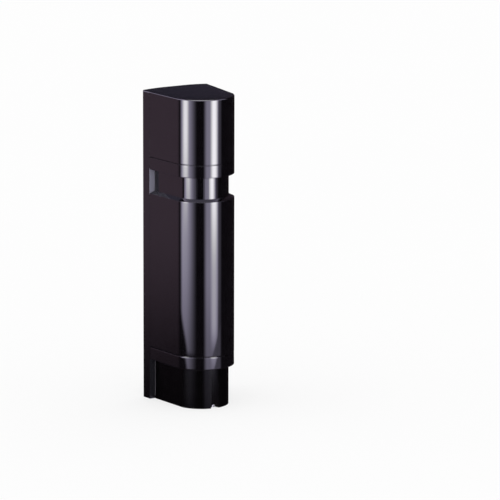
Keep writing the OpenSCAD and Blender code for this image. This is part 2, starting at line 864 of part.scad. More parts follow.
module board_standoffs() {
    color(steel) for (p = standoff_places())
        difference() {
            rod_y(p[0], p[1], board_front_y + board_t, floor_y, standoff_r);
            rod_y(p[0], p[1], board_front_y + board_t - over,
                  board_front_y + board_t + screw_bite + over, screw_r + press_gap);
        }
}

module board_screws() {
    color(steel) for (p = standoff_places())
        screw_y(p[0], p[1], board_front_y, board_t + screw_bite);
}

// Block that stands on the front of the main board, centred at x and z above the housing's underside
module on_board(x, z, size) {
    translate([x - size[0] / 2, board_front_y - size[1], control_z + z - size[2] / 2]) cube(size);
}

module board_relay() {
    color("#2b4f8c") on_board(relay_place[0], relay_place[1], relay_size);
}

module board_chips() {
    color("#1a1a1c") for (p = chip_places) on_board(p[0], p[1], chip_size);
}

module board_capacitors() {
    color("#3a4660") for (p = cap_places)
        rod_y(p[0], control_z + p[1], board_front_y - cap_h, board_front_y, cap_r);
}

module board_sockets() {
    color(cream) for (p = socket_places) on_board(p[0], p[1], socket_size);
}

module status_leds() {
    color("#c23b2a") for (i = [-1 : 1])
        rod_y(i * led_pitch, control_z + led_z, panel_y - led_out, board_front_y, led_r);
}

module test_pins() {
    z = control_z + mode_z;
    color(cream) union() {
        span([pin_x - pin_block_hw + fit_gap, panel_y - pin_block_out, z - pin_block_hh + fit_gap],
             [pin_x + pin_block_hw - fit_gap, board_front_y, z + pin_block_hh - fit_gap]);
        for (s = [-1, 1])
            rod_y(pin_x + s * pin_pitch / 2, z, panel_y - pin_out, panel_y, pin_r);
    }
}

// Selector knob on a shaft through the panel, with a pointer groove
module selector(x, z, r, h, stem_r) {
    y1 = panel_y - knob_gap;
    difference() {
        union() {
            rod_y(x, z, y1 - h, y1, r);
            rod_y(x, z, y1 - film, panel_y + shaft_len, stem_r);
        }
        span([x - knob_mark_w / 2, y1 - h - over, z],
             [x + knob_mark_w / 2, y1 - h + knob_mark_d, z + r + over]);
        for (i = [0 : knurl_count - 1]) {
            turn = 360 * (i + 1 / 2) / knurl_count;
            rod_y(x + r * cos(turn), z + r * sin(turn),
                  y1 - h - over, y1 + knob_gap / 2, r / knob_r * knurl_r);
        }
    }
}
module power_selector() { color(cream) selector(-knob_x, control_z + knob_z, knob_r, knob_h, shaft_r); }
module channel_selector() { color(cream) selector(knob_x, control_z + knob_z, knob_r, knob_h, shaft_r); }
module response_trimmer() {
    color("#d07a2a") selector(0, control_z + trimmer_z, trimmer_r, trimmer_h, trimmer_shaft_r);
}

module mode_switch() {
    z = control_z + mode_z;
    window_hw = slider_hw + slider_travel + slider_gap;
    color("#202226") difference() {
        span([mode_x - mode_hw + fit_gap, panel_y - mode_lip, z - mode_hh + fit_gap],
             [mode_x + mode_hw - fit_gap, board_front_y, z + mode_hh - fit_gap]);
        span([mode_x - window_hw, panel_y - mode_lip - over, z - slider_hh - slider_gap],
             [mode_x + window_hw, panel_y + slider_in + slider_gap, z + slider_hh + slider_gap]);
    }
}

module mode_slider() {
    z = control_z + mode_z;
    color(cream) span([mode_x - slider_hw, panel_y - mode_lip - slider_out, z - slider_hh],
                      [mode_x + slider_hw, panel_y + slider_in, z + slider_hh]);
}

module terminal_base() {
    color(satin_black) span([-terminal_base_hw, floor_y - terminal_base_t, terminal_z],
                            [terminal_base_hw, floor_y, terminal_z + terminal_base_h]);
}

module terminal_block() {
    z0 = terminal_z + (terminal_base_h - terminal_h) / 2;
    z1 = z0 + terminal_h;
    y1 = floor_y - terminal_base_t;
    y0 = y1 - terminal_d;
    color("#2a6a4a") difference() {
        translate([-terminal_hw, 0, 0]) rotate([90, 0, 90]) linear_extrude(2 * terminal_hw) polygon([
            [y1, z0], [y0, z0], [y0, z1 - terminal_step], [y0 + terminal_step, z1 - terminal_step / 2],
            [y0 + terminal_step, z1], [y1, z1]
        ]);
        for (i = [0 : terminal_count - 1]) {
            x = (i - (terminal_count - 1) / 2) * terminal_pitch;
            span([x - terminal_slot_w / 2, y0 + terminal_step, z0 - over],
                 [x + terminal_slot_w / 2, y0 + terminal_step + terminal_slot_d, z0 + terminal_step]);
            span([x - terminal_pitch / 2 + barrier_t, y0 - over, z0 + barrier_t],
                 [x + terminal_pitch / 2 - barrier_t, y0 + terminal_head_h, z1 - terminal_step - barrier_t]);
        }
    }
}

module terminal_screws() {
    z0 = terminal_z + (terminal_base_h - terminal_h) / 2;
    y0 = floor_y - terminal_base_t - terminal_d;
    z = z0 + (terminal_h - terminal_step) / 2;
    color(steel) for (i = [0 : terminal_count - 1]) {
        x = (i - (terminal_count - 1) / 2) * terminal_pitch;
        difference() {
            rod_y(x, z, y0, y0 + terminal_head_h, terminal_head_r);
            span([x - terminal_head_r - over, y0 - over, z - screw_slot_w / 2],
                 [x + terminal_head_r + over, y0 + screw_slot_d / 2, z + screw_slot_w / 2]);
        }
    }
}

module tamper_switch() {
    color("#2b2b30") difference() {
        span([tamper_x - tamper_hw, floor_y - tamper_body_d, tamper_z - tamper_hh],
             [tamper_x + tamper_hw, floor_y, tamper_z + tamper_hh]);
        rod_y(tamper_x, tamper_z, floor_y - tamper_body_d - over,
              floor_y - tamper_body_d + plunger_bite + plunger_travel + over, plunger_r + run_gap);
    }
}

module tamper_plunger() {
    color(cream) rod_y(tamper_x, tamper_z, shell_back_y + plunger_gap,
                       floor_y - tamper_body_d + plunger_bite, plunger_r);
}

// Optical unit, on the shelf whose top is at z. The pan axis is the front arc's axis.

module turntable(z) {
    top = turn_top(z);
    axis_z = tilt_z(z);
    arm_x = block_hw + arm_gap;
    color("#3a3b40") translate([0, arc_y, 0]) difference() {
        union() {
            translate([0, 0, z + turn_gap]) cylinder(r = turn_r, h = turn_t);
            translate([0, 0, z - shelf_t - turn_gap - clip_t])
                cylinder(r = pivot_r, h = shelf_t + 2 * turn_gap + clip_t + film);
            for (s = [-1, 1]) translate([s * (arm_x + arm_t / 2) - arm_t / 2, 0, 0])
                rotate([90, 0, 90]) linear_extrude(arm_t) union() {
                    polygon([
                        [-arm_foot_hd, top - film], [arm_foot_hd, top - film],
                        [arm_hd, top + under_gap], [arm_hd, axis_z],
                        [-arm_hd, axis_z], [-arm_hd, top + under_gap]
                    ]);
                    translate([0, axis_z]) circle(arm_hd);
                }
            for (y = [tilt_lug_front, tilt_lug_rear])
                span([-tilt_lug_hw, y, top - film], [tilt_lug_hw, y + tilt_lug_t, top + tilt_lug_h]);
        }
        translate([-arm_x - arm_t - over, 0, axis_z]) rotate([0, 90, 0])
            cylinder(r = tilt_pin_r + press_gap, h = 2 * (arm_x + arm_t + over));
        rod_y(0, top + tilt_screw_z, tilt_lug_front - over, tilt_lug_rear + tilt_lug_t + over,
              tilt_screw_r + run_gap);
    }
}

module pivot_clip(z) {
    color(steel) translate([0, arc_y, z - shelf_t - turn_gap - clip_t]) difference() {
        cylinder(r = clip_r, h = clip_t);
        translate([0, 0, -over]) cylinder(r = pivot_r + press_gap, h = clip_t + 2 * over);
        translate([0, 0, -over]) span([-pivot_r / 2, 0, 0], [pivot_r / 2, clip_r + over, clip_t + 2 * over]);
    }
}

module tilt_pins(z) {
    arm_x = block_hw + arm_gap + arm_t;
    color(steel) for (s = [-1, 1]) mirror([s - 1, 0, 0])
        translate([block_hw - pin_bite, arc_y, tilt_z(z)]) rotate([0, 90, 0]) union() {
            cylinder(r = tilt_pin_r, h = arm_x - block_hw + pin_bite + pin_head_t);
            translate([0, 0, arm_x - block_hw + pin_bite]) cylinder(r = pin_head_r, h = pin_head_t);
        }
}

module tilt_screw(z) {
    zs = turn_top(z) + tilt_screw_z;
    head_y = tilt_lug_front - tilt_head_gap - tilt_head_t;
    color(steel) translate([0, arc_y, 0]) difference() {
        union() {
            rod_y(0, zs, head_y, head_y + tilt_head_t, tilt_head_r);
            rod_y(0, zs, head_y, tilt_lug_rear + tilt_lug_t + over, tilt_screw_r);
        }
        span([-screw_slot_w / 2, head_y - over, zs - tilt_head_r - over],
             [screw_slot_w / 2, head_y + screw_slot_d, zs + tilt_head_r + over]);
    }
}

// Height of a lens centre from the tilt axis
function lens_mid() = block_hh * lens_mid_share;

module lens_block(z) {
    axis_z = tilt_z(z);
    tail_top = axis_z - block_hh;
    color("#26262b") translate([0, arc_y, 0]) difference() {
        union() {
            span([-block_hw, -block_front, axis_z - block_hh], [block_hw, block_rear, axis_z + block_hh]);
            span([-tail_hw, -tail_t / 2, tail_top - tail_h], [tail_hw, tail_t / 2, tail_top + film]);
        }
        for (s = [-1, 1]) {
            // Light tunnel, lens seat and board seat
            zc = axis_z + s * lens_mid();
            span([-tunnel_hw, -block_front - over, zc - tunnel_hh],
                 [tunnel_hw, block_rear + over, zc + tunnel_hh]);
            span([-lens_hw - fit_gap, -block_front - over, zc - lens_hh - fit_gap],
                 [lens_hw + fit_gap, -block_front + lens_seat_d, zc + lens_hh + fit_gap]);
        }
        span([-block_hw + board_inset, block_rear - board_seat_d, axis_z - block_hh + board_inset],
             [block_hw - board_inset, block_rear + over, axis_z + block_hh - board_inset]);
        // Sight: open to the front and to both sides
        span([-block_hw - over, -sight_front, axis_z - sight_hh],
             [block_hw + over, -sight_rear, axis_z + sight_hh]);
        span([-sight_hw, -block_front - over, axis_z - sight_hh],
             [sight_hw, -sight_rear, axis_z + sight_hh]);
        for (s = [-1, 1]) mirror([s - 1, 0, 0])
            translate([block_hw - pin_bite - over, 0, axis_z]) rotate([0, 90, 0])
                cylinder(r = tilt_pin_r + run_gap, h = pin_bite + 2 * over);
        // Fork round the tilt screw
        span([-tilt_screw_r - tail_gap, -tail_t, tail_top - tail_h - over],
             [tilt_screw_r + tail_gap, tail_t, turn_top(z) + tilt_screw_z + tilt_screw_r + tail_gap]);
    }
}

module lenses(z) {
    back = -block_front + lens_seat_d;
    color("#5a4a6a", 0.6) translate([0, arc_y, 0]) for (s = [-1, 1]) {
        zc = tilt_z(z) + s * lens_mid();
        union() {
            span([-lens_hw, back - lens_t, zc - lens_hh], [lens_hw, back, zc + lens_hh]);
            intersection() {
                span([-lens_hw + bezel_rim + fit_gap, back - dome_r, zc - lens_hh + bezel_rim + fit_gap],
                     [lens_hw - bezel_rim - fit_gap, back - lens_t + film,
                      zc + lens_hh - bezel_rim - fit_gap]);
                translate([0, back - 3 * lens_t + dome_r, zc]) sphere(dome_r);
            }
        }
    }
}

module bezels(z) {
    back = -block_front + lens_seat_d - lens_t;
    color("#8a8c90") translate([0, arc_y, 0]) for (s = [-1, 1]) {
        zc = tilt_z(z) + s * lens_mid();
        difference() {
            span([-lens_hw, back - bezel_t, zc - lens_hh], [lens_hw, back, zc + lens_hh]);
            span([-lens_hw + bezel_rim, back - bezel_t - over, zc - lens_hh + bezel_rim],
                 [lens_hw - bezel_rim, back + over, zc + lens_hh - bezel_rim]);
        }
    }
}

module optic_board(z) {
    y1 = block_rear - board_seat_d;
    color(board_green) translate([0, arc_y, 0])
        span([-block_hw + board_inset + fit_gap, y1, tilt_z(z) - block_hh + board_inset + fit_gap],
             [block_hw - board_inset - fit_gap, y1 + board_t, tilt_z(z) + block_hh - board_inset - fit_gap]);
}

module emitters(z) {
    y1 = block_rear - board_seat_d;
    color("#2b2340") translate([0, arc_y, 0]) for (s = [-1, 1]) {
        zc = tilt_z(z) + s * lens_mid();
        union() {
            rod_y(0, zc, y1 - emitter_flange_t, y1, emitter_flange_r);
            rod_y(0, zc, y1 - emitter_len, y1, emitter_r);
            translate([0, y1 - emitter_len, zc]) sphere(emitter_r);
        }
    }
}

// Plan of the sight's wedge, moved out by the mirrors' thickness
module sight_plan(skin) {
    polygon([
        [-sight_tail_hw - skin, -sight_rear], [-sight_nose_hw - skin, -sight_front + sight_nose_hw],
        [sight_nose_hw + skin, -sight_front + sight_nose_hw], [sight_tail_hw + skin, -sight_rear]
    ]);
}

module sight_frame(z) {
    color("#3a3a40") translate([0, arc_y, tilt_z(z) - sight_hh]) linear_extrude(2 * sight_hh) sight_plan(0);
}

module sight_mirrors(z) {
    color("#d5d8dc") translate([0, arc_y, tilt_z(z) - sight_hh]) linear_extrude(2 * sight_hh) difference() {
        sight_plan(mirror_t * sqrt(2));
        sight_plan(0);
    }
}

module upper_turntable() { turntable(upper_shelf_z); }
module upper_pivot_clip() { pivot_clip(upper_shelf_z); }
module upper_tilt_pins() { tilt_pins(upper_shelf_z); }
module upper_tilt_screw() { tilt_screw(upper_shelf_z); }
module upper_lens_block() { lens_block(upper_shelf_z); }
module upper_lenses() { lenses(upper_shelf_z); }
module upper_bezels() { bezels(upper_shelf_z); }
module upper_optic_board() { optic_board(upper_shelf_z); }
module upper_emitters() { emitters(upper_shelf_z); }
module upper_sight_frame() { sight_frame(upper_shelf_z); }
module upper_sight_mirrors() { sight_mirrors(upper_shelf_z); }
module lower_turntable() { turntable(lower_shelf_z); }
module lower_pivot_clip() { pivot_clip(lower_shelf_z); }
module lower_tilt_pins() { tilt_pins(lower_shelf_z); }
module lower_tilt_screw() { tilt_screw(lower_shelf_z); }
module lower_lens_block() { lens_block(lower_shelf_z); }
module lower_lenses() { lenses(lower_shelf_z); }
module lower_bezels() { bezels(lower_shelf_z); }
module lower_optic_board() { optic_board(lower_shelf_z); }
module lower_emitters() { emitters(lower_shelf_z); }
module lower_sight_frame() { sight_frame(lower_shelf_z); }
module lower_sight_mirrors() { sight_mirrors(lower_shelf_z); }

rear_chassis();
mounting_plate();
plate_screws();
weather_gasket();
wire_grommet();
lock_bracket();
cover_hanger();
bracket_screws();
upper_shelf();
lower_shelf();
control_housing();
main_board();
board_standoffs();
board_screws();
board_chips();
board_capacitors();
board_relay();
board_sockets();
status_leds();
test_pins();
terminal_base();
terminal_block();
terminal_screws();
tamper_switch();
mode_switch();
power_selector();
channel_selector();
response_trimmer();
mode_slider();
tamper_plunger();
upper_cover();
upper_band();
neck_shell();
lower_cover();
lower_band();
base_skirt();
lock_screw();
upper_turntable();
upper_pivot_clip();
upper_tilt_pins();
upper_tilt_screw();
upper_lens_block();
upper_lenses();
upper_bezels();
upper_optic_board();
upper_emitters();
upper_sight_frame();
upper_sight_mirrors();
lower_turntable();
lower_pivot_clip();
lower_tilt_pins();
lower_tilt_screw();
lower_lens_block();
lower_lenses();
lower_bezels();
lower_optic_board();
lower_emitters();
lower_sight_frame();
lower_sight_mirrors();
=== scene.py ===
"""Quad beam sensor: the looks of the tower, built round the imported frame.

+Z is up, the front faces -Y and the wall is at +Y. Sizes in the classes are in millimetres, as in the
part's source, and MM turns them into the metres of the scene.
"""

from __future__ import annotations

import json
import logging
import math
from dataclasses import dataclass
from enum import Enum

import bmesh
import bpy
import numpy as np
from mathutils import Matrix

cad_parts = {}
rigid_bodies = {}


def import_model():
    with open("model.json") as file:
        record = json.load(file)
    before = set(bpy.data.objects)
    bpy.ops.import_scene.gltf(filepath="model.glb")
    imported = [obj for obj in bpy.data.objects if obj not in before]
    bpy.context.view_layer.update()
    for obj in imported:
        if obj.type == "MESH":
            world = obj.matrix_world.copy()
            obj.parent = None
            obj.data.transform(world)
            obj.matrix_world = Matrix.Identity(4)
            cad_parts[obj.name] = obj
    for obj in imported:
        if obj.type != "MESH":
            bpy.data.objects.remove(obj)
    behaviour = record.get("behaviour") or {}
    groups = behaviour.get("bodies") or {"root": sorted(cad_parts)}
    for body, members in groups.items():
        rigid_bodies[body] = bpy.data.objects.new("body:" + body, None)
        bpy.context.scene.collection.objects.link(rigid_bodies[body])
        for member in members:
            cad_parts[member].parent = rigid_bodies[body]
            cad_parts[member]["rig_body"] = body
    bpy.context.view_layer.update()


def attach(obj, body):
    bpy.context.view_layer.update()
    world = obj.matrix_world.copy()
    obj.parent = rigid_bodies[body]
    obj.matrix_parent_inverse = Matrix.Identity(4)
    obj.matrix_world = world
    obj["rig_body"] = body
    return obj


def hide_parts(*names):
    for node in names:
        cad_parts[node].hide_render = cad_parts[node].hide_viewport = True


LOG = logging.getLogger("quad_beam_sensor")
MM = 0.001


# Shader kit


class Value:
    """One output socket, on which Python's operators add Math nodes."""

    def __init__(self, graph: Graph, socket: bpy.types.NodeSocket) -> None:
        """Keeps the graph and the socket."""
        self.graph = graph
        self.socket = socket

    def _math(self, operation: str, *others: Value | float) -> Value:
        """Adds one Math node.

        Args:
            operation: the Math node's operation.
            others: the second and third operands.

        Returns:
            The node's output.
        """
        inputs = {0: self, **dict(enumerate(others, 1))}
        return self.graph.node("ShaderNodeMath", {"operation": operation}, inputs)

    def __add__(self, other: Value | float) -> Value:
        """self + other."""
        return self._math("ADD", other)

    def __mul__(self, other: Value | float) -> Value:
        """self * other."""
        return self._math("MULTIPLY", other)

    def __sub__(self, other: Value | float) -> Value:
        """self - other."""
        return self._math("SUBTRACT", other)

    def __rsub__(self, other: float) -> Value:
        """other - self."""
        return self._math("MULTIPLY_ADD", -1.0, other)

    def __truediv__(self, other: Value | float) -> Value:
        """self / other."""
        return self._math("DIVIDE", other)

    def __pow__(self, other: float) -> Value:
        """self to the power other."""
        return self._math("POWER", other)

    def sin(self) -> Value:
        """Sine of an angle in radians."""
        return self._math("SINE")

    def bearing(self, across: Value) -> Value:
        """Angle in degrees from the axis of self towards the axis of across.

        Args:
            across: the coordinate on the second axis.

        Returns:
            The arc tangent of across over self, from -180 to 180.
        """
        return across._math("ARCTAN2", self) * math.degrees(1.0)

    def near(self, middle: float, half: float, soft: float) -> Value:
        """Window round a place.

        Args:
            middle: the place.
            half: how far from it the window is fully open.
            soft: over how much beyond that it closes.

        Returns:
            1 in the window, 0 outside.
        """
        return 1.0 - (self - middle)._math("ABSOLUTE").rise(half, half + soft)

    def rise(self, low: float, high: float) -> Value:
        """Smooth step.

        Args:
            low: where it starts.
            high: where it ends.

        Returns:
            0 below low, 1 above high, and 3 t^2 - 2 t^3 of the share t between them.
        """
        settings = {"interpolation_type": "SMOOTHSTEP"}
        inputs = {"Value": self, "From Min": low, "From Max": high}
        return self.graph.node("ShaderNodeMapRange", settings, inputs)


class Graph:
    """Node tree of a material or of the world."""

    def __init__(self, tree: bpy.types.NodeTree) -> None:
        """Empties the tree and keeps it."""
        tree.nodes.clear()
        self.tree = tree

    def node(
        self, kind: str, settings: dict | None = None, inputs: dict | None = None, output: int | str = 0
    ) -> Value:
        """Adds any node.

        Args:
            kind: the node's type.
            settings: its properties, set before its sockets.
            inputs: values or Value links by socket name or number.
            output: the output that is wanted.

        Returns:
            That output.
        """
        made = self.tree.nodes.new(kind)
        for name, value in (settings or {}).items():
            setattr(made, name, value)
        for key, value in (inputs or {}).items():
            socket = made.inputs[key]
            if isinstance(value, Value):
                self.tree.links.new(value.socket, socket)
            else:
                socket.default_value = value
        return Value(self, made.outputs[output])

    def end(self, shader: Value, kind: str = "ShaderNodeOutputMaterial") -> None:
        """Links a shader to the tree's output.

        Args:
            shader: the last shader.
            kind: the type of the output node.
        """
        self.tree.links.new(shader.socket, self.tree.nodes.new(kind).inputs["Surface"])

    def axes(self) -> tuple[Value, Value, Value]:
        """Splits the Object coordinates.

        Returns:
            X, Y and Z in metres.
        """
        place = self.node("ShaderNodeTexCoord", output="Object")
        return tuple(self.node("ShaderNodeSeparateXYZ", {}, {0: place}, axis) for axis in "XYZ")

    def noise(
        self, scale: float, detail: float = 2.0, stretch: tuple[float, float, float] = (1, 1, 1)
    ) -> Value:
        """Noise on the Object coordinates, from 0 to 1.

        Args:
            scale: cells per metre.
            detail: octaves.
            stretch: scale of each axis before the noise.

        Returns:
            The noise's factor.
        """
        place = self.node("ShaderNodeTexCoord", output="Object")
        placed = self.node("ShaderNodeMapping", {}, {"Vector": place, "Scale": stretch})
        return self.node("ShaderNodeTexNoise", {}, {"Vector": placed, "Scale": scale, "Detail": detail})

    def tint(self, factor: Value | float, low: Value | tuple, high: Value | tuple) -> Value:
        """Mixes two colours.

        Args:
            factor: 0 for low, 1 for high.
            low: the first colour.
            high: the second colour.

        Returns:
            The colour between them.
        """
        settings = {"data_type": "RGBA"}
        return self.node("ShaderNodeMix", settings, {0: factor, 6: low, 7: high}, 2)


def rgba(colour: tuple[float, float, float]) -> tuple[float, float, float, float]:
    """Adds the alpha that a colour socket wants."""
    return (*colour, 1.0)


COAT_ROUGH = 0.02
CLOUD_CELLS, CLOUD_DETAIL = 60.0, 3.0
CLOUD_EDGES = (0.3, 0.7)
BRUSH_STRETCH = (1.0, 1.0, 0.03)
FINE_SHARE = 0.5

# Tracks of a circuit board, in metres

TRACK_PITCH = 0.0025
ROW_PITCH = 1.7 * TRACK_PITCH
TRACK_EDGES = (0.72, 0.8)
PATCH_CELLS = 180.0
PATCH_EDGES = (0.47, 0.53)
TRACK_GAIN, TRACK_OFFSET = 1.9, 0.02

# Prism rings of a lens, and the painted highlight on the chassis rim's forward face, in metres

RING_PITCH = 0.0008
# Where the painted highlight sits on the rim face: its Y, its window at the neck, its fade above the base,
# its faint share at the base, and its colour
RIM_FACE = (0.0346, 0.00015, 0.00015)
RIM_NECK = (0.256, 0.0145, 0.001)
RIM_BASE_TOP = (0.046, 0.048)
RIM_BASE_SHARE = 0.05
RIM_PAINTED_LIGHT_COLOUR = (0.3, 0.295, 0.365)


class Grain(Enum):
    """Kinds of surface that a finish can have."""

    POLISHED = "polished"
    MOULDED = "moulded"
    BRUSHED = "brushed"
    BOARD = "board"
    LENS = "lens"
    # The next kind is no grain but a painted highlight on the forward face of the chassis rim
    PAINTED_RIM_LIGHT = "flange"


@dataclass(frozen=True)
class Finish:
    """A material: its colour, gloss and grain."""

    slot: str
    colour: tuple[float, float, float]
    rough: float = 0.4
    metal: float = 0.0
    coat: float = 0.0
    grain: Grain = Grain.MOULDED
    grain_scale: float = 900.0
    grain_depth: float = 0.02
    vary: float = 0.15
    rough_vary: float = 0.08
    shine: float = 0.5

    def material(self) -> bpy.types.Material:
        """Returns the finish's material, made at its first use."""
        known = bpy.data.materials.get("finish_" + self.slot)
        if known:
            return known
        made = bpy.data.materials.new("finish_" + self.slot)
        made.use_nodes = True
        graph = Graph(made.node_tree)
        colour, rough, height, depth = self._surface(graph)
        relief = {"Strength": 1.0, "Distance": depth * MM, "Height": height}
        bump = graph.node("ShaderNodeBump", {}, relief, "Normal")
        inputs = {
            "Base Color": colour,
            "Roughness": rough,
            "Metallic": self.metal,
            "Normal": bump,
            "Coat Weight": self.coat,
            "Coat Roughness": COAT_ROUGH,
            "Specular IOR Level": self.shine,
        }
        shader = graph.node("ShaderNodeBsdfPrincipled", {}, inputs)
        graph.end(shader)
        return made

    def _surface(self, graph: Graph) -> tuple[Value, Value, Value, float]:
        """Colour, roughness and height of the grain.

        Args:
            graph: the material's graph.

        Returns:
            Colour, roughness, bump height and bump distance in millimetres.
        """
        broad = graph.noise(CLOUD_CELLS, CLOUD_DETAIL)
        dark = tuple(c * (1 - self.vary) for c in self.colour)
        light = tuple(c * (1 + self.vary) for c in self.colour)
        colour = graph.tint(broad.rise(*CLOUD_EDGES), rgba(dark), rgba(light))
        if self.grain is Grain.BRUSHED:
            fine = graph.noise(self.grain_scale, stretch=BRUSH_STRETCH)
        else:
            fine = graph.noise(self.grain_scale)
        if self.grain is Grain.BOARD:
            colour, fine = self._board(graph, colour)
        if self.grain is Grain.LENS:
            fine = self._rings(graph)
        # Painted highlight on the chassis rim face, mixed into the colour
        if self.grain is Grain.PAINTED_RIM_LIGHT:
            colour = self._painted_rim_light(graph, colour)
        clouds = (broad - 0.5) * self.rough_vary
        rough = clouds + self.rough + (fine - 0.5) * (FINE_SHARE * self.rough_vary)
        return colour, rough, fine, self.grain_depth

    def _board(self, graph: Graph, colour: Value) -> tuple[Value, Value]:
        """Copper tracks and pads under a board's solder mask.

        Args:
            graph: the material's graph.
            colour: the solder mask's colour.

        Returns:
            The colour with tracks, and their height.
        """
        x, _, z = graph.axes()
        courses = (x / TRACK_PITCH * math.tau).sin() * 0.5 + 0.5
        rows = (z / ROW_PITCH * math.tau).sin() * 0.5 + 0.5
        choice = graph.noise(PATCH_CELLS, 0.0).rise(*PATCH_EDGES)
        tracks = courses.rise(*TRACK_EDGES) * choice + rows.rise(*TRACK_EDGES) * (1.0 - choice)
        lighter = tuple(min(1.0, TRACK_GAIN * c + TRACK_OFFSET) for c in self.colour)
        return graph.tint(tracks, colour, rgba(lighter)), tracks

    def _painted_rim_light(self, graph: Graph, colour: Value) -> Value:
        """Painted highlight on the forward face of the chassis rim, which looks out past the cover's
        recesses.

        Args:
            graph: the material's graph.
            colour: the chassis colour.

        Returns:
            The colour with the painted highlight full at the neck and faint at the base.
        """
        _, y, z = graph.axes()
        # Painted highlight: full in the neck's window, and a faint share of it below the base's top
        share = z.near(*RIM_NECK) + (1.0 - z.rise(*RIM_BASE_TOP)) * RIM_BASE_SHARE
        return graph.tint(y.near(*RIM_FACE) * share, colour, rgba(RIM_PAINTED_LIGHT_COLOUR))

    def _rings(self, graph: Graph) -> Value:
        """Concentric prism rings of a flat lens.

        Args:
            graph: the material's graph.

        Returns:
            Height of the rings: a sine wave of the distance from the axes' origin, from 0 to 1.
        """
        x, _, z = graph.axes()
        distance = (x * x + z * z) ** 0.5
        return (distance * (math.tau / RING_PITCH)).sin() * 0.5 + 0.5


GLOSS = Finish(
    "cover_gloss", (0.003, 0.0026, 0.0036), rough=0.045, coat=1.0, grain=Grain.POLISHED,
    grain_scale=160.0, grain_depth=0.0006, rough_vary=0.02,
)
SATIN = Finish(
    "base_satin", (0.0018, 0.0015, 0.0019), rough=0.17, grain_scale=2200.0, grain_depth=0.003, shine=0.2,
)
# Near-black chassis, with a painted highlight on its rim's forward face at the neck
CHASSIS = Finish(
    "chassis_black", (0.003, 0.0026, 0.0034), rough=0.08, coat=1.0, grain=Grain.PAINTED_RIM_LIGHT,
    grain_scale=1400.0, grain_depth=0.001,
)
INNER = Finish("inner_black", (0.028, 0.028, 0.031), rough=0.5, grain_scale=2600.0, grain_depth=0.015)
YOKE = Finish("yoke_grey", (0.085, 0.087, 0.094), rough=0.42, grain_scale=2600.0, grain_depth=0.012)
BEZEL = Finish("bezel_grey", (0.32, 0.33, 0.345), rough=0.38)
PLATE = Finish(
    "steel_plate", (0.62, 0.63, 0.64), rough=0.36, metal=0.6, grain=Grain.BRUSHED,
    grain_scale=1800.0, grain_depth=0.004,
)
SCREW = Finish(
    "screw_steel", (0.7, 0.7, 0.72), rough=0.27, metal=0.6, grain_scale=1500.0, grain_depth=0.004,
)
SEAL = Finish("seal_rubber", (0.05, 0.048, 0.053), rough=0.75, grain_scale=1600.0, grain_depth=0.03)
BOARD = Finish(
    "board_green", (0.015, 0.13, 0.055), rough=0.3, coat=0.4, grain=Grain.BOARD, grain_depth=0.035,
)
CHIP = Finish("chip_black", (0.02, 0.02, 0.022), rough=0.5, grain_scale=3000.0, grain_depth=0.01)
CAN = Finish("capacitor_blue", (0.03, 0.04, 0.11), rough=0.25, coat=0.5)
RELAY = Finish("relay_blue", (0.025, 0.1, 0.36), rough=0.3, coat=0.3)
CREAM = Finish("cream_plastic", (0.68, 0.63, 0.52), rough=0.42)
TERMINAL = Finish("terminal_green", (0.03, 0.2, 0.1), rough=0.45)
TRIMMER = Finish("trimmer_orange", (0.66, 0.22, 0.035), rough=0.35)
LIGHT = Finish("indicator_red", (0.5, 0.03, 0.02), rough=0.16, coat=0.5)
LENS = Finish("lens_glass", (0.075, 0.05, 0.105), rough=0.08, coat=0.6, grain=Grain.LENS, grain_depth=0.05)
EMITTER = Finish("emitter_violet", (0.045, 0.03, 0.085), rough=0.08, coat=0.5)
MIRROR = Finish("sight_mirror", (0.88, 0.88, 0.9), rough=0.06, metal=1.0, grain_depth=0.0005)


# Mesh kit

WELD, COPY_WELD = 1e-6, 2e-6
FLAT_DEG, SHARP_DEG, SOFTEN_DEG = 0.6, 30.0, 40.0


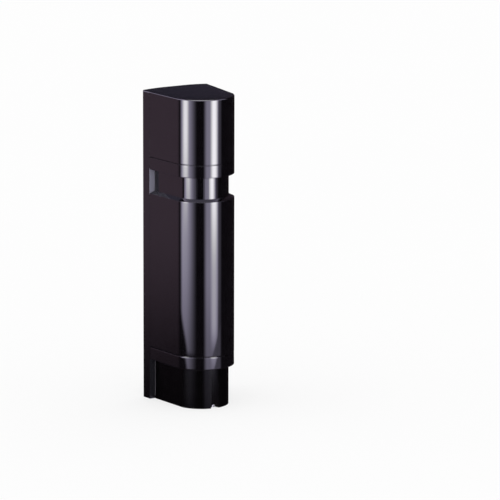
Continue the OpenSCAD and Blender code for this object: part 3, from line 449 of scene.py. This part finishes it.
@dataclass(frozen=True)
class Plan:
    """Plan of the body: a curved front between two straight sides that open towards the wall."""

    width_back: float = 86.4
    width_front: float = 73.0
    depth: float = 98.0
    bulge: float = 28.0
    arris_r: float = 0.45
    front_steps: int = 72
    arris_steps: int = 7
    support: float = 0.5

    @property
    def front_r(self) -> float:
        """Radius of the front arc: half the sum of the bulge and the half chord's square over the bulge."""
        return (self.bulge**2 + (self.width_front / 2) ** 2) / (2 * self.bulge)

    @property
    def arc_y(self) -> float:
        """Y of the front arc's centre."""
        return -self.depth / 2 + self.front_r

    @property
    def arris_y(self) -> float:
        """Y at which the sides meet the front arc."""
        return -self.depth / 2 + self.bulge

    @property
    def taper(self) -> float:
        """Angle by which each side opens towards the wall."""
        return math.atan((self.width_back - self.width_front) / 2 / (self.depth / 2 - self.arris_y))

    @property
    def reach(self) -> float:
        """Distance of a side from the arc's centre."""
        along = (self.arris_y - self.arc_y) * math.sin(self.taper)
        return self.width_front / 2 * math.cos(self.taper) - along

    def path(self, inset: float, rear_y: float) -> np.ndarray:
        """Points of the outline from the rear left round the front to the rear right.

        The front arc has the radius front_r - inset, each side lies reach - inset from the arc's centre,
        and an arc of radius arris_r touches both. Both arcs are rows of equal angles, and each side has a
        point at its middle and one at the distance support from either end.

        Args:
            inset: distance inside the body's outline.
            rear_y: where the sides end.

        Returns:
            Array of points (n, 2).
        """
        normal = np.array([math.cos(self.taper), -math.sin(self.taper)])
        along = np.array([math.sin(self.taper), math.cos(self.taper)])
        edge_r = min(self.arris_r, 0.5 * (self.reach - inset))
        across = self.reach - inset - edge_r
        back = -math.sqrt(max((self.front_r - inset - edge_r) ** 2 - across**2, 0.0))
        middle = across * normal + back * along
        meet = math.atan2(middle[1], middle[0])
        turn = np.linspace(-math.pi / 2, meet, self.front_steps + 1)[:-1, None]
        front = (self.front_r - inset) * np.hstack([np.cos(turn), np.sin(turn)])
        turn = np.linspace(meet, -self.taper, self.arris_steps)[:, None]
        edge = middle + edge_r * np.hstack([np.cos(turn), np.sin(turn)])
        rear = (rear_y - self.arc_y - (self.reach - inset) * normal[1]) / along[1]
        near = self.support / (rear - back)
        share = np.array([min(1.0, near), 0.5, 1 - near, 1.0])[:, None]
        side = (self.reach - inset) * normal + (back + share * (rear - back)) * along
        half = np.vstack([front, edge, side]) + np.array([0.0, self.arc_y])
        return np.vstack([half[:0:-1] * np.array([-1.0, 1.0]), half])


PLAN = Plan()


def rounded(points: list[tuple[float, float]], radii: list[float], steps: int = 5) -> np.ndarray:
    """Closed polygon with its corners rounded.

    Each corner is replaced by the arc that touches both of its sides: its ends lie radius / tan(half the
    corner's angle) from the corner, and its points are equal turns between them.

    Args:
        points: the corners.
        radii: the radius of each corner, 0 for a sharp one.
        steps: points on each arc.

    Returns:
        Array of points (n, 2).
    """
    out = []
    count = len(points)
    for i, radius in enumerate(radii):
        here = np.array(points[i], float)
        before = np.array(points[i - 1], float) - here
        after = np.array(points[(i + 1) % count], float) - here
        if radius <= 0:
            out.append(here[None])
            continue
        before, after = before / np.linalg.norm(before), after / np.linalg.norm(after)
        half = math.acos(float(np.clip(before @ after, -1, 1))) / 2
        middle = here + (before + after) / np.linalg.norm(before + after) * radius / math.sin(half)
        start = here + before * radius / math.tan(half) - middle
        end = here + after * radius / math.tan(half) - middle
        sweep = math.atan2(start[0] * end[1] - start[1] * end[0], float(start @ end))
        turn = np.linspace(0, sweep, steps)[:, None]
        side = np.array([-start[1], start[0]])
        out.append(middle + np.cos(turn) * start + np.sin(turn) * side)
    return np.vstack(out)


def grid_faces(rows: int, columns: int, wrap: bool) -> np.ndarray:
    """Quads of a grid of points.

    Args:
        rows: rows of points.
        columns: points in a row.
        wrap: whether the last row joins the first.

    Returns:
        Array of point numbers (n, 4).
    """
    row = np.arange(rows if wrap else rows - 1)[:, None]
    column = np.arange(columns - 1)[None, :]
    after = (row + 1) % rows
    here, there = row * columns + column, after * columns + column
    return np.stack([here, here + 1, there + 1, there], -1).reshape(-1, 4)


def make_piece(name: str, points: np.ndarray, faces: list, smooth_deg: float = 32.0) -> bpy.types.Object:
    """Puts points in millimetres and faces into a new object whose place is in its mesh.

    Args:
        name: the piece's name.
        points: array (n, 3).
        faces: lists of point numbers.
        smooth_deg: edges that turn more than this stay sharp.

    Returns:
        The object.
    """
    mesh = bpy.data.meshes.new(name)
    mesh.from_pydata((points * MM).tolist(), [], [list(map(int, f)) for f in faces])
    shell = bmesh.new()
    shell.from_mesh(mesh)
    bmesh.ops.remove_doubles(shell, verts=shell.verts, dist=WELD)
    bmesh.ops.recalc_face_normals(shell, faces=shell.faces)
    shell.to_mesh(mesh)
    shell.free()
    mesh.polygons.foreach_set("use_smooth", np.ones(len(mesh.polygons), bool))
    mesh.set_sharp_from_angle(angle=math.radians(smooth_deg))
    piece = bpy.data.objects.new(name, mesh)
    bpy.context.scene.collection.objects.link(piece)
    return piece


def sweep_round(name: str, profile: np.ndarray, rear_y: float) -> bpy.types.Object:
    """Carries a closed profile along the plan.

    Point (i, j) of the surface is point j of the plan's path at the inset of profile point i, at that
    point's height. Both ends are closed with the profile's own face.

    Args:
        name: the piece's name.
        profile: array (n, 2) of inset and height.
        rear_y: where the sides end.

    Returns:
        The object.
    """
    paths = np.stack([PLAN.path(inset, rear_y) for inset, _ in profile])
    height = np.broadcast_to(profile[:, 1, None, None], (*paths.shape[:2], 1))
    rows, columns = paths.shape[:2]
    points = np.concatenate([paths, height], 2).reshape(-1, 3)
    faces = grid_faces(rows, columns, True).tolist()
    faces.append(list(range(0, rows * columns, columns)))
    faces.append(list(range(columns - 1, rows * columns, columns))[::-1])
    return make_piece(name, points, faces)


def finish_piece(piece: bpy.types.Object, body: str, finish: Finish, *nodes: str) -> bpy.types.Object:
    """Gives a new piece its body, its finish and the nodes that it stands for.

    Args:
        piece: the new piece.
        body: the CAD body that it rides on.
        finish: its finish.
        nodes: CAD nodes that it replaces.

    Returns:
        The piece.
    """
    piece.data.materials.clear()
    piece.data.materials.append(finish.material())
    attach(piece, body)
    if nodes:
        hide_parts(*nodes)
    LOG.info("%s rides on %s", piece.name, body)
    return piece


# The cover


@dataclass
class Cover:
    """Glossy cover in five mouldings, and the satin base that is fixed to it."""

    body: str = "cover"
    base_h: float = 47.0
    lower_seam_z: float = 62.0
    neck_z: float = 242.0
    band_z: float = 270.0
    upper_seam_z: float = 285.0
    rim_z: float = 360.0
    crown_h: float = 1.0
    crown_inset: float = 30.0
    rim_r: float = 1.4
    wall: float = 2.2
    top_wall: float = 3.0
    recess: float = 6.4
    ledge_h: float = 2.5
    ledge_flat: float = 0.4
    ledge_r: float = 0.2
    inner_r: float = 0.8
    seam: float = 0.9
    lip: float = 0.12
    support: float = 1.0
    ledge_support: float = 0.5
    rim_support: float = 0.6
    shoulder: float = 6.0
    middle_inset: float = 36.6
    lower_draft: float = 0.14
    band_floor: float = 2.5
    rear_y: float = 34.2
    tongue_h: float = 4.0
    tongue_t: float = 1.2
    fit: float = 0.1
    hook_half: float = 12.0
    hook_root_y: float = 25.6
    hook_end_y: float = 40.0
    hook_z: float = 353.6
    hook_t: float = 2.0
    hook_r: float = 0.4
    hook_soft: float = 0.3

    def crown(self, inset: np.ndarray) -> np.ndarray:
        """Height of the top.

        A parabola rises crown_h from the rim to crown_inset, and is flat beyond: the height is the rim's
        plus crown_h times 1 minus the square of the share of the way that is left.

        Args:
            inset: distances inside the body's outline.

        Returns:
            The heights at them.
        """
        share = np.clip((inset - self.rim_r) / (self.crown_inset - self.rim_r), 0, 1)
        return self.rim_z + self.crown_h * (1 - (1 - share) ** 2)

    def upper(self) -> bpy.types.Object:
        """Builds the upper cover.

        The outer sheet is the plan at insets and heights that go up the wall, round the rim and over the
        crown to the middle line, and the inner sheet goes up the wall's inside and under the top. Strips of
        quads join their lower edges and their ends, and the middle line is closed with quads.

        Returns:
            The object.
        """
        turn = np.linspace(0, math.pi / 2, 9)
        lip = np.linspace(-math.pi / 2, 0, 5)
        low = np.stack([self.lip * (1 - np.cos(lip)), self.upper_seam_z + self.lip * (1 + np.sin(lip))], 1)
        rim = np.stack([self.rim_r * (1 - np.cos(turn)), self.rim_z - self.rim_r * (1 - np.sin(turn))], 1)
        shoulder = np.linspace(self.rim_r, self.shoulder, 6)[1:]
        insets = np.concatenate([shoulder, np.linspace(self.shoulder, self.middle_inset, 22)[1:]])
        wall = [[0, self.upper_seam_z + self.support], [0, self.rim_z - self.rim_r - self.rim_support]]
        outer = np.vstack([low, wall, rim, np.stack([insets, self.crown(insets)], 1)])
        ceiling = self.rim_z - self.top_wall
        inner = np.zeros_like(outer)
        count = len(outer)
        wall_rows = len(low) + 2
        inner[:, 0] = self.wall
        inner[:wall_rows, 1] = np.linspace(self.upper_seam_z, ceiling, wall_rows)
        inner[wall_rows:, 1] = ceiling
        inner[wall_rows:, 0] = np.linspace(self.wall, self.middle_inset, count - wall_rows)
        sheets = []
        for sheet in (outer, inner):
            paths = np.stack([PLAN.path(inset, self.rear_y) for inset, _ in sheet])
            height = np.broadcast_to(sheet[:, 1, None, None], (*paths.shape[:2], 1))
            sheets.append(np.concatenate([paths, height], 2))
        columns = sheets[0].shape[1]
        points = np.concatenate(sheets).reshape(-1, 3)
        quads = grid_faces(count, columns, False)
        shift = count * columns
        faces = quads.tolist() + (quads + shift).tolist()
        column = np.arange(columns - 1)
        faces += np.stack([column, column + 1, column + 1 + shift, column + shift], 1).tolist()
        row = np.arange(count - 1)
        for end in (0, columns - 1):
            first = row * columns + end
            faces += np.stack([first, first + columns, first + columns + shift, first + shift], 1).tolist()
        half = np.arange(columns // 2)
        for base in ((count - 1) * columns, (count - 1) * columns + shift):
            other = base + columns - 1 - half
            faces += np.stack([base + half, base + half + 1, other - 1, other], 1).tolist()
        last = (count - 1) * columns
        faces.append([last, last + columns - 1, last + columns - 1 + shift, last + shift])
        return make_piece("upper_cover_shell", points, faces)

    def hook(self) -> bpy.types.Object:
        """Builds the tongue that hooks over the hanger, and its root under the top.

        The L-shaped outline in the Y-Z plane is carried along X, and it is drawn in at both ends by the
        radius of the softened edge, a quarter circle.

        Returns:
            The object.
        """
        ceiling, seat = self.rim_z - self.top_wall, self.hook_z + self.hook_t
        corners = [
            (self.hook_root_y, self.hook_z), (self.hook_end_y, self.hook_z), (self.hook_end_y, seat),
            (self.rear_y, seat), (self.rear_y, ceiling), (self.hook_root_y, ceiling),
        ]
        outline = rounded(corners, [self.hook_r, self.hook_r, self.hook_r, 0.5, 0, 0])
        middle = outline.mean(0)
        turn = np.linspace(0, math.pi / 2, 4)
        left = -self.hook_half + self.hook_soft * (1 - np.sin(turn))
        x = np.concatenate([left, self.hook_half - self.hook_soft * (1 - np.sin(turn[::-1]))])
        draw = np.concatenate([1 - np.cos(turn[::-1]), 1 - np.cos(turn)]) * self.hook_soft
        way = (middle - outline) / np.linalg.norm(middle - outline, axis=1)[:, None]
        rings = outline[:, None] + way[:, None] * draw[None, :, None]
        across = np.broadcast_to(x[None, :, None], (*rings.shape[:2], 1))
        points = np.concatenate([across, rings], 2).reshape(-1, 3)
        count, columns = len(outline), len(x)
        faces = grid_faces(count, columns, True).tolist()
        faces.append(list(range(0, count * columns, columns)))
        faces.append(list(range(columns - 1, count * columns, columns))[::-1])
        return make_piece("cover_hook", points, faces)

    def band(self, name: str, z: float, seam_z: float, draft: float) -> bpy.types.Object:
        """Builds a band under a cover.

        The profile goes up the outside, over the tongue that reaches up inside the cover, and back down to
        the floor that reaches in to the shell. The outside is drawn in by draft times the share of the
        height that has been climbed.

        Args:
            name: the piece's name.
            z: the band's underside.
            seam_z: the cover's lower edge.
            draft: inset of the upper edge.

        Returns:
            The object.
        """
        top = seam_z - self.seam
        inner = self.wall + self.tongue_t
        turn = np.linspace(0, math.pi / 2, 5)
        straight = [z + self.support, top - self.support]
        levels = np.concatenate([
            z + self.lip * (1 - np.cos(turn)), straight, top - self.lip * (1 - np.sin(turn)),
        ])
        insets = draft * (levels - z) / (top - z)
        insets[:5] += self.lip * (1 - np.sin(turn))
        insets[-5:] += self.lip * (1 - np.cos(turn))
        tongue, tip, floor = self.wall + self.fit, seam_z + self.tongue_h, z + self.band_floor
        edge = self.recess - self.fit
        corners = [(tongue, top), (tongue, tip), (inner, tip), (inner, floor), (edge, floor), (edge, z)]
        behind = rounded(corners, [0, 0.2, 0.2, 0.5, 0, 0])
        return sweep_round(name, np.vstack([np.stack([insets, levels], 1), behind]), self.rear_y)

    def lower(self) -> bpy.types.Object:
        """Builds the lower cover: a wall whose top slopes in to the neck as a ledge.

        Returns:
            The object.
        """
        z = self.lower_seam_z
        edge = self.recess - self.fit
        flat, top, near = edge - self.ledge_flat, self.neck_z + self.ledge_h, self.ledge_support
        slope = self.ledge_h / flat
        corners = [
            (0, z), (0, z + self.support), (0, self.neck_z - self.support), (0, self.neck_z),
            (near, self.neck_z + near * slope), (flat - near, top - near * slope), (flat, top), (edge, top),
            (edge, self.neck_z - self.wall), (self.wall, self.neck_z - self.wall), (self.wall, z),
        ]
        radii = [self.lip, 0, 0, self.ledge_r, 0, 0, 0.15, 0.1, 0.3, self.inner_r, 0.3]
        return sweep_round("lower_cover_shell", rounded(corners, radii), self.rear_y)

    def build(self) -> None:
        """Builds and dresses the cover's mouldings."""
        finish_piece(self.upper(), self.body, GLOSS, "upper_cover")
        finish_piece(self.hook(), self.body, GLOSS)
        band = self.band("upper_band_shell", self.band_z, self.upper_seam_z, 0.0)
        finish_piece(band, self.body, GLOSS, "upper_band")
        finish_piece(self.lower(), self.body, GLOSS, "lower_cover")
        band = self.band("lower_band_shell", self.base_h, self.lower_seam_z, self.lower_draft)
        finish_piece(band, self.body, GLOSS, "lower_band")
        refine("neck_shell", GLOSS, 0)
        refine("base_skirt", SATIN, 0)


SOFT, UNIT_SOFT, FINE_SOFT = 0.18, 0.12, 0.1


def refine(node: str, finish: Finish, bevel: float = SOFT) -> bpy.types.Object:
    """Copies a CAD node with its doubles merged and its edges softened, and replaces it.

    Args:
        node: the CAD node.
        finish: its finish.
        bevel: width of the softened edges in millimetres, 0 for a curved shell that keeps its own.

    Returns:
        The new piece.
    """
    source = bpy.data.objects[node]
    mesh = source.data.copy()
    shell = bmesh.new()
    shell.from_mesh(mesh)
    bmesh.ops.remove_doubles(shell, verts=shell.verts, dist=COPY_WELD)
    if bevel > 0:
        limit = math.radians(FLAT_DEG)
        bmesh.ops.dissolve_limit(shell, angle_limit=limit, verts=shell.verts, edges=shell.edges)
    shell.to_mesh(mesh)
    shell.free()
    mesh.polygons.foreach_set("use_smooth", np.ones(len(mesh.polygons), bool))
    mesh.set_sharp_from_angle(angle=math.radians(SHARP_DEG))
    piece = bpy.data.objects.new(node + "_piece", mesh)
    bpy.context.scene.collection.objects.link(piece)
    if bevel > 0:
        soften = piece.modifiers.new("soft_edges", "BEVEL")
        soften.width = bevel * MM
        soften.segments = 2
        soften.limit_method = "ANGLE"
        soften.angle_limit = math.radians(SOFTEN_DEG)
        soften.harden_normals = True
    piece.modifiers.new("even_shading", "WEIGHTED_NORMAL").keep_sharp = True
    return finish_piece(piece, source["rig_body"], finish, node)


@dataclass
class Interior:
    """Chassis and all that it carries inside: nodes by finish."""

    by_finish: tuple[tuple[Finish, tuple[str, ...]], ...] = (
        (CHASSIS, ("rear_chassis",)),
        (PLATE, ("mounting_plate", "lock_bracket", "cover_hanger")),
        (SEAL, ("weather_gasket", "wire_grommet")),
        (INNER, ("upper_shelf", "lower_shelf", "control_housing", "terminal_base")),
        (SCREW, ("plate_screws", "bracket_screws", "board_standoffs", "board_screws", "terminal_screws",
                 "lock_screw")),
        (BOARD, ("main_board",)),
        (CHIP, ("board_chips", "tamper_switch", "mode_switch")),
        (CAN, ("board_capacitors",)),
        (RELAY, ("board_relay",)),
        (CREAM, ("board_sockets", "test_pins", "power_selector", "channel_selector", "mode_slider",
                 "tamper_plunger")),
        (LIGHT, ("status_leds",)),
        (TERMINAL, ("terminal_block",)),
        (TRIMMER, ("response_trimmer",)),
    )

    def build(self) -> None:
        """Dresses each node."""
        for finish, nodes in self.by_finish:
            for node in nodes:
                refine(node, finish, FINE_SOFT if "screws" in node or "pins" in node else SOFT)


@dataclass
class OpticalUnit:
    """One of the two optical units: its yoke, and the head that tilts in it."""

    name: str

    def build(self) -> None:
        """Dresses the unit's nodes."""
        finishes = {
            "turntable": YOKE, "pivot_clip": SCREW, "tilt_pins": SCREW, "tilt_screw": SCREW,
            "lens_block": INNER, "lenses": LENS, "bezels": BEZEL, "optic_board": BOARD, "emitters": EMITTER,
            "sight_frame": YOKE, "sight_mirrors": MIRROR,
        }
        for part, finish in finishes.items():
            refine(f"{self.name}_{part}", finish, UNIT_SOFT)


# The studio


@dataclass(frozen=True)
class LightTent:
    """Dark round wall with two soft openings at its front and left, and a lamp overhead.

    Only gloss sees it, as with the black flags and strip lights round a glossy object in a studio: the
    white of the world shows in the gloss above and below it. Bearings are in degrees about the tower as
    seen from above, from the front (0) towards its right, and heights are in metres. A window is its
    middle, its half width and the softness of its edges, and a climb is where it starts and ends.
    """

    radius: float = 1.6
    bottom: float = -3.2
    top: float = 3.2
    columns: int = 96
    lamp_radius: float = 0.55
    lamp_z: float = 1.7
    lamp_level: float = 4.0
    strips_end: tuple[float, float] = (0.6, 0.85)

    left_core: tuple[float, float, float] = (-85.0, 2.0, 13.0)
    left_core_climb: tuple[float, float] = (-0.135, 0.054)
    left_core_level: float = 5.5
    left_edge: float = -84.0
    left_edge_drift: float = -23.0
    left_edge_climb: tuple[float, float] = (-0.302, -0.231)
    left_edge_soft: tuple[float, float] = (-2.0, 12.0)
    left_fade: tuple[float, float] = (-87.0, -43.0)
    left_climb: tuple[float, float] = (-0.317, -0.076)
    left_low_share: float = 0.4
    left_start: tuple[float, float] = (-0.303, -0.293)
    left_level: float = 3.4

    right_core: tuple[float, float, float] = (15.0, 2.0, 15.0)
    right_core_climb: tuple[float, float] = (-0.187, -0.03)
    right_core_low_share: float = 0.27
    right_core_start: tuple[float, float] = (-0.302, -0.25)
    right_core_level: float = 8.4
    right_open: tuple[float, float] = (-24.0, -8.0)
    right_close: tuple[float, float] = (36.0, 46.0)
    right_step: tuple[float, float] = (26.0, 34.0)
    right_step_share: float = 0.8
    right_climb: tuple[float, float] = (-0.317, -0.157)
    right_low_share: float = 0.55
    right_level: float = 2.2
    right_floor: float = 0.5
    right_floor_start: tuple[float, float] = (-0.44, -0.39)
    cut_bearing: float = 7.0
    cut_slope: float = 0.00141
    cut_z: float = -0.302
    cut_soft: tuple[float, float] = (-0.0052, 0.0052)

    side: tuple[float, float, float] = (-138.0, 22.0, 8.0)
    side_climb: tuple[float, float] = (-0.387, -0.087)
    side_level: float = 0.172
    high_open: tuple[float, float] = (-152.0, -147.0)
    high_close: tuple[float, float] = (60.0, 80.0)
    high_climb: tuple[float, float] = (0.65, 0.9)
    high_level: float = 1.9
    back_y: tuple[float, float] = (0.2, 1.3)
    back_climb: tuple[float, float] = (0.2, 0.5)
    back_level: float = 0.022
    low_end: tuple[float, float] = (-0.95, -0.5)
    low_level: float = 0.2
    least: float = 0.01

    front_dim: tuple[float, float, float] = (1.2, 0.83, 1.12)
    back_dim: tuple[float, float, float] = (0.95, 0.85, 1.3)
    back_dim_y: tuple[float, float] = (1.2, 1.4)
    strip_dim: tuple[float, float, float] = (0.95, 0.88, 1.2)
    strip_bright: tuple[float, float, float] = (1.0, 0.98, 1.04)
    strip_levels: tuple[float, float] = (1.5, 6.0)

    def _left(self, turn: Value, z: Value) -> Value:
        """Left strip: a core over a wide glow, whose left edge curves in at its lower end.

        Args:
            turn: bearing of the place on the wall.
            z: its height.

        Returns:
            The strength of the glow there.
        """
        core = turn.near(*self.left_core) * z.rise(*self.left_core_climb) * self.left_core_level
        edge = z.rise(*self.left_edge_climb) * self.left_edge_drift + self.left_edge
        level = z.rise(*self.left_climb) * (1 - self.left_low_share) + self.left_low_share
        wide = (turn - edge).rise(*self.left_edge_soft) * (1.0 - turn.rise(*self.left_fade)) * level
        return core + wide * z.rise(*self.left_start) * self.left_level

    def _right(self, turn: Value, z: Value) -> Value:
        """Right strip: a core over a wide glow, cut off below by a slanting edge.

        Args:
            turn: bearing of the place on the wall.
            z: its height.

        Returns:
            The strength of the glow there.
        """
        share = z.rise(*self.right_core_climb) * (1 - self.right_core_low_share) + self.right_core_low_share
        core = turn.near(*self.right_core) * share * z.rise(*self.right_core_start) * self.right_core_level
        window = turn.rise(*self.right_open) * (1.0 - turn.rise(*self.right_close))
        level = z.rise(*self.right_climb) * (1 - self.right_low_share) + self.right_low_share
        wide = (1.0 - turn.rise(*self.right_step) * self.right_step_share) * level * self.right_level
        above = (z - (turn - self.cut_bearing) * self.cut_slope - self.cut_z).rise(*self.cut_soft)
        floor = z.rise(*self.right_floor_start) * self.right_floor
        return window * ((wide - self.right_floor) * above + floor) + core * above

    def _high(self, turn: Value, z: Value) -> Value:
        """Glow above eye level, at the front and left, that the rounded rim of the cover reflects.

        Args:
            turn: bearing of the place on the wall.
            z: its height.

        Returns:
            The strength of the glow there.
        """
        opened = turn.rise(*self.high_open) * (1.0 - turn.rise(*self.high_close))
        return opened * z.rise(*self.high_climb) * self.high_level

    def _dim(self, turn: Value, y: Value, z: Value) -> Value:
        """Faint glow elsewhere: for the tower's left side, for its top, and below eye level.

        Args:
            turn: bearing of the place on the wall.
            y: its Y.
            z: its height.

        Returns:
            The strength of the glow there.
        """
        side = turn.near(*self.side) * z.rise(*self.side_climb) * self.side_level
        back = y.rise(*self.back_y) * z.rise(*self.back_climb) * self.back_level
        return side + back + (1.0 - z.rise(*self.low_end)) * self.low_level + self.least

    def _dress(
        self, piece: bpy.types.Object, graph: Graph, colour: Value | tuple, level: Value | float
    ) -> None:
        """Gives a piece its glow and hides it from all but glossy rays.

        Args:
            piece: the stage piece.
            graph: its material's graph.
            colour: colour of the glow.
            level: strength of the glow.
        """
        graph.end(graph.node("ShaderNodeEmission", {}, {"Color": colour, "Strength": level}))
        piece.visible_camera = False
        piece.visible_diffuse = False
        piece.visible_shadow = False
        piece.visible_transmission = False

    def _wall(self) -> None:
        """Builds the wall, a cylinder whose ring is the sines and cosines of equal bearings."""
        turn = np.linspace(0, math.tau, self.columns + 1)
        ring = np.stack([np.sin(turn), -np.cos(turn)], 1) * self.radius
        rows = [np.hstack([ring, np.full((self.columns + 1, 1), z)]) for z in (self.bottom, self.top)]
        faces = grid_faces(2, self.columns + 1, False).tolist()
        wall = make_piece("tent_wall", np.vstack(rows) / MM, faces)
        graph = new_graph(wall, "tent_wall")
        x, y, z = graph.axes()
        bearing = (y * -1.0).bearing(x)
        strips = (self._left(bearing, z) + self._right(bearing, z)) * (1.0 - z.rise(*self.strips_end))
        strips = strips + self._high(bearing, z)
        dim = self._dim(bearing, y, z)
        shade = graph.tint(y.rise(*self.back_dim_y), rgba(self.front_dim), rgba(self.back_dim))
        glow = graph.tint(strips.rise(*self.strip_levels), rgba(self.strip_dim), rgba(self.strip_bright))
        self._dress(wall, graph, graph.tint(strips / (strips + dim), shade, glow), strips + dim)

    def _lamp(self) -> None:
        """Builds the lamp, a level disc of equal bearings."""
        turn = np.linspace(0, math.tau, self.columns + 1)[:-1]
        disc = np.stack([np.sin(turn), np.cos(turn), np.zeros(self.columns)], 1) * self.lamp_radius
        place = np.array([0.0, 0.0, self.lamp_z])
        lamp = make_piece("tent_lamp", (disc + place) / MM, [list(range(self.columns))])
        self._dress(lamp, new_graph(lamp, "tent_lamp"), (1.0, 1.0, 1.0, 1.0), self.lamp_level)

    def build(self) -> None:
        """Builds the tent."""
        self._wall()
        self._lamp()


def new_graph(piece: bpy.types.Object, name: str) -> Graph:
    """Gives a stage piece a new material.

    Args:
        piece: the piece.
        name: the material's name.

    Returns:
        The material's empty graph.
    """
    made = bpy.data.materials.new(name)
    made.use_nodes = True
    piece.data.materials.append(made)
    return Graph(made.node_tree)


@dataclass
class Studio:
    """Camera, floor, world and light tent."""

    azimuth: float = -30.0
    elevation: float = 11.8
    distance: float = 5.3
    field_mm: float = 573.0
    middle: tuple[float, float, float] = (0.0, 0.0, 0.1815)
    shift: tuple[float, float] = (0.1073, -0.0068)
    sensor_mm: float = 36.0
    farthest: float = 50.0
    floor_radius: float = 6.0
    floor_steps: int = 48
    floor_cells: float = 3.0
    floor_albedo: tuple[float, float] = (0.86, 0.88)
    floor_white: float = 1.04
    floor_white_share: float = 0.68
    tent: LightTent = LightTent()

    def camera(self) -> None:
        """Puts the camera at the photograph's angle, far off, with a long lens."""
        turn, lift = math.radians(self.azimuth), math.radians(self.elevation)
        way = np.array([math.sin(turn) * math.cos(lift), -math.cos(turn) * math.cos(lift), math.sin(lift)])
        data = bpy.data.cameras.new("camera")
        data.sensor_width = self.sensor_mm
        data.lens = data.sensor_width * self.distance / (self.field_mm * MM)
        data.shift_x, data.shift_y = self.shift
        data.clip_end = self.farthest
        camera = bpy.data.objects.new("camera", data)
        camera.location = np.array(self.middle) + way * self.distance
        camera.rotation_euler = (math.pi / 2 - lift, 0.0, turn)
        bpy.context.scene.collection.objects.link(camera)
        bpy.context.scene.camera = camera

    def floor(self) -> None:
        """Lays a pale floor that keeps the tower's shadow and stays out of its gloss."""
        turn = np.linspace(0, math.tau, self.floor_steps + 1)[:-1]
        points = np.stack([np.cos(turn), np.sin(turn), np.zeros(self.floor_steps)], 1) * self.floor_radius
        piece = make_piece("floor", points / MM, [list(range(self.floor_steps))])
        graph = new_graph(piece, "floor")
        low, high = (rgba((albedo,) * 3) for albedo in self.floor_albedo)
        colour = graph.tint(graph.noise(self.floor_cells), low, high)
        matt = graph.node("ShaderNodeBsdfDiffuse", {}, {"Color": colour})
        white = graph.node("ShaderNodeEmission", {}, {"Strength": self.floor_white})
        camera, glossy, through = (
            graph.node("ShaderNodeLightPath", output=f"Is {kind} Ray")
            for kind in ("Camera", "Glossy", "Transmission")
        )
        share = (camera + glossy + through) * self.floor_white_share
        graph.end(graph.node("ShaderNodeMixShader", {}, {0: share, 1: matt, 2: white}))
        piece.visible_glossy = False

    def world(self) -> None:
        """Lights everything evenly and is the backdrop, at the strength that renders as white."""
        world = bpy.data.worlds.new("studio")
        world.use_nodes = True
        bpy.context.scene.world = world
        graph = Graph(world.node_tree)
        white = graph.node("ShaderNodeBackground", {}, {"Color": (1, 1, 1, 1), "Strength": 1.0})
        graph.end(white, "ShaderNodeOutputWorld")

    def build(self) -> None:
        """Builds the studio."""
        self.camera()
        self.floor()
        self.world()
        self.tent.build()
        bpy.context.scene.view_settings.view_transform = "Standard"


def main() -> None:
    """Builds the tower's looks round the frame, in order."""
    logging.basicConfig(level=logging.INFO, format="%(message)s")
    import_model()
    Studio().build()
    Cover().build()
    Interior().build()
    for name in ("upper", "lower"):
        OpticalUnit(name).build()


if __name__ == "__main__":
    main()
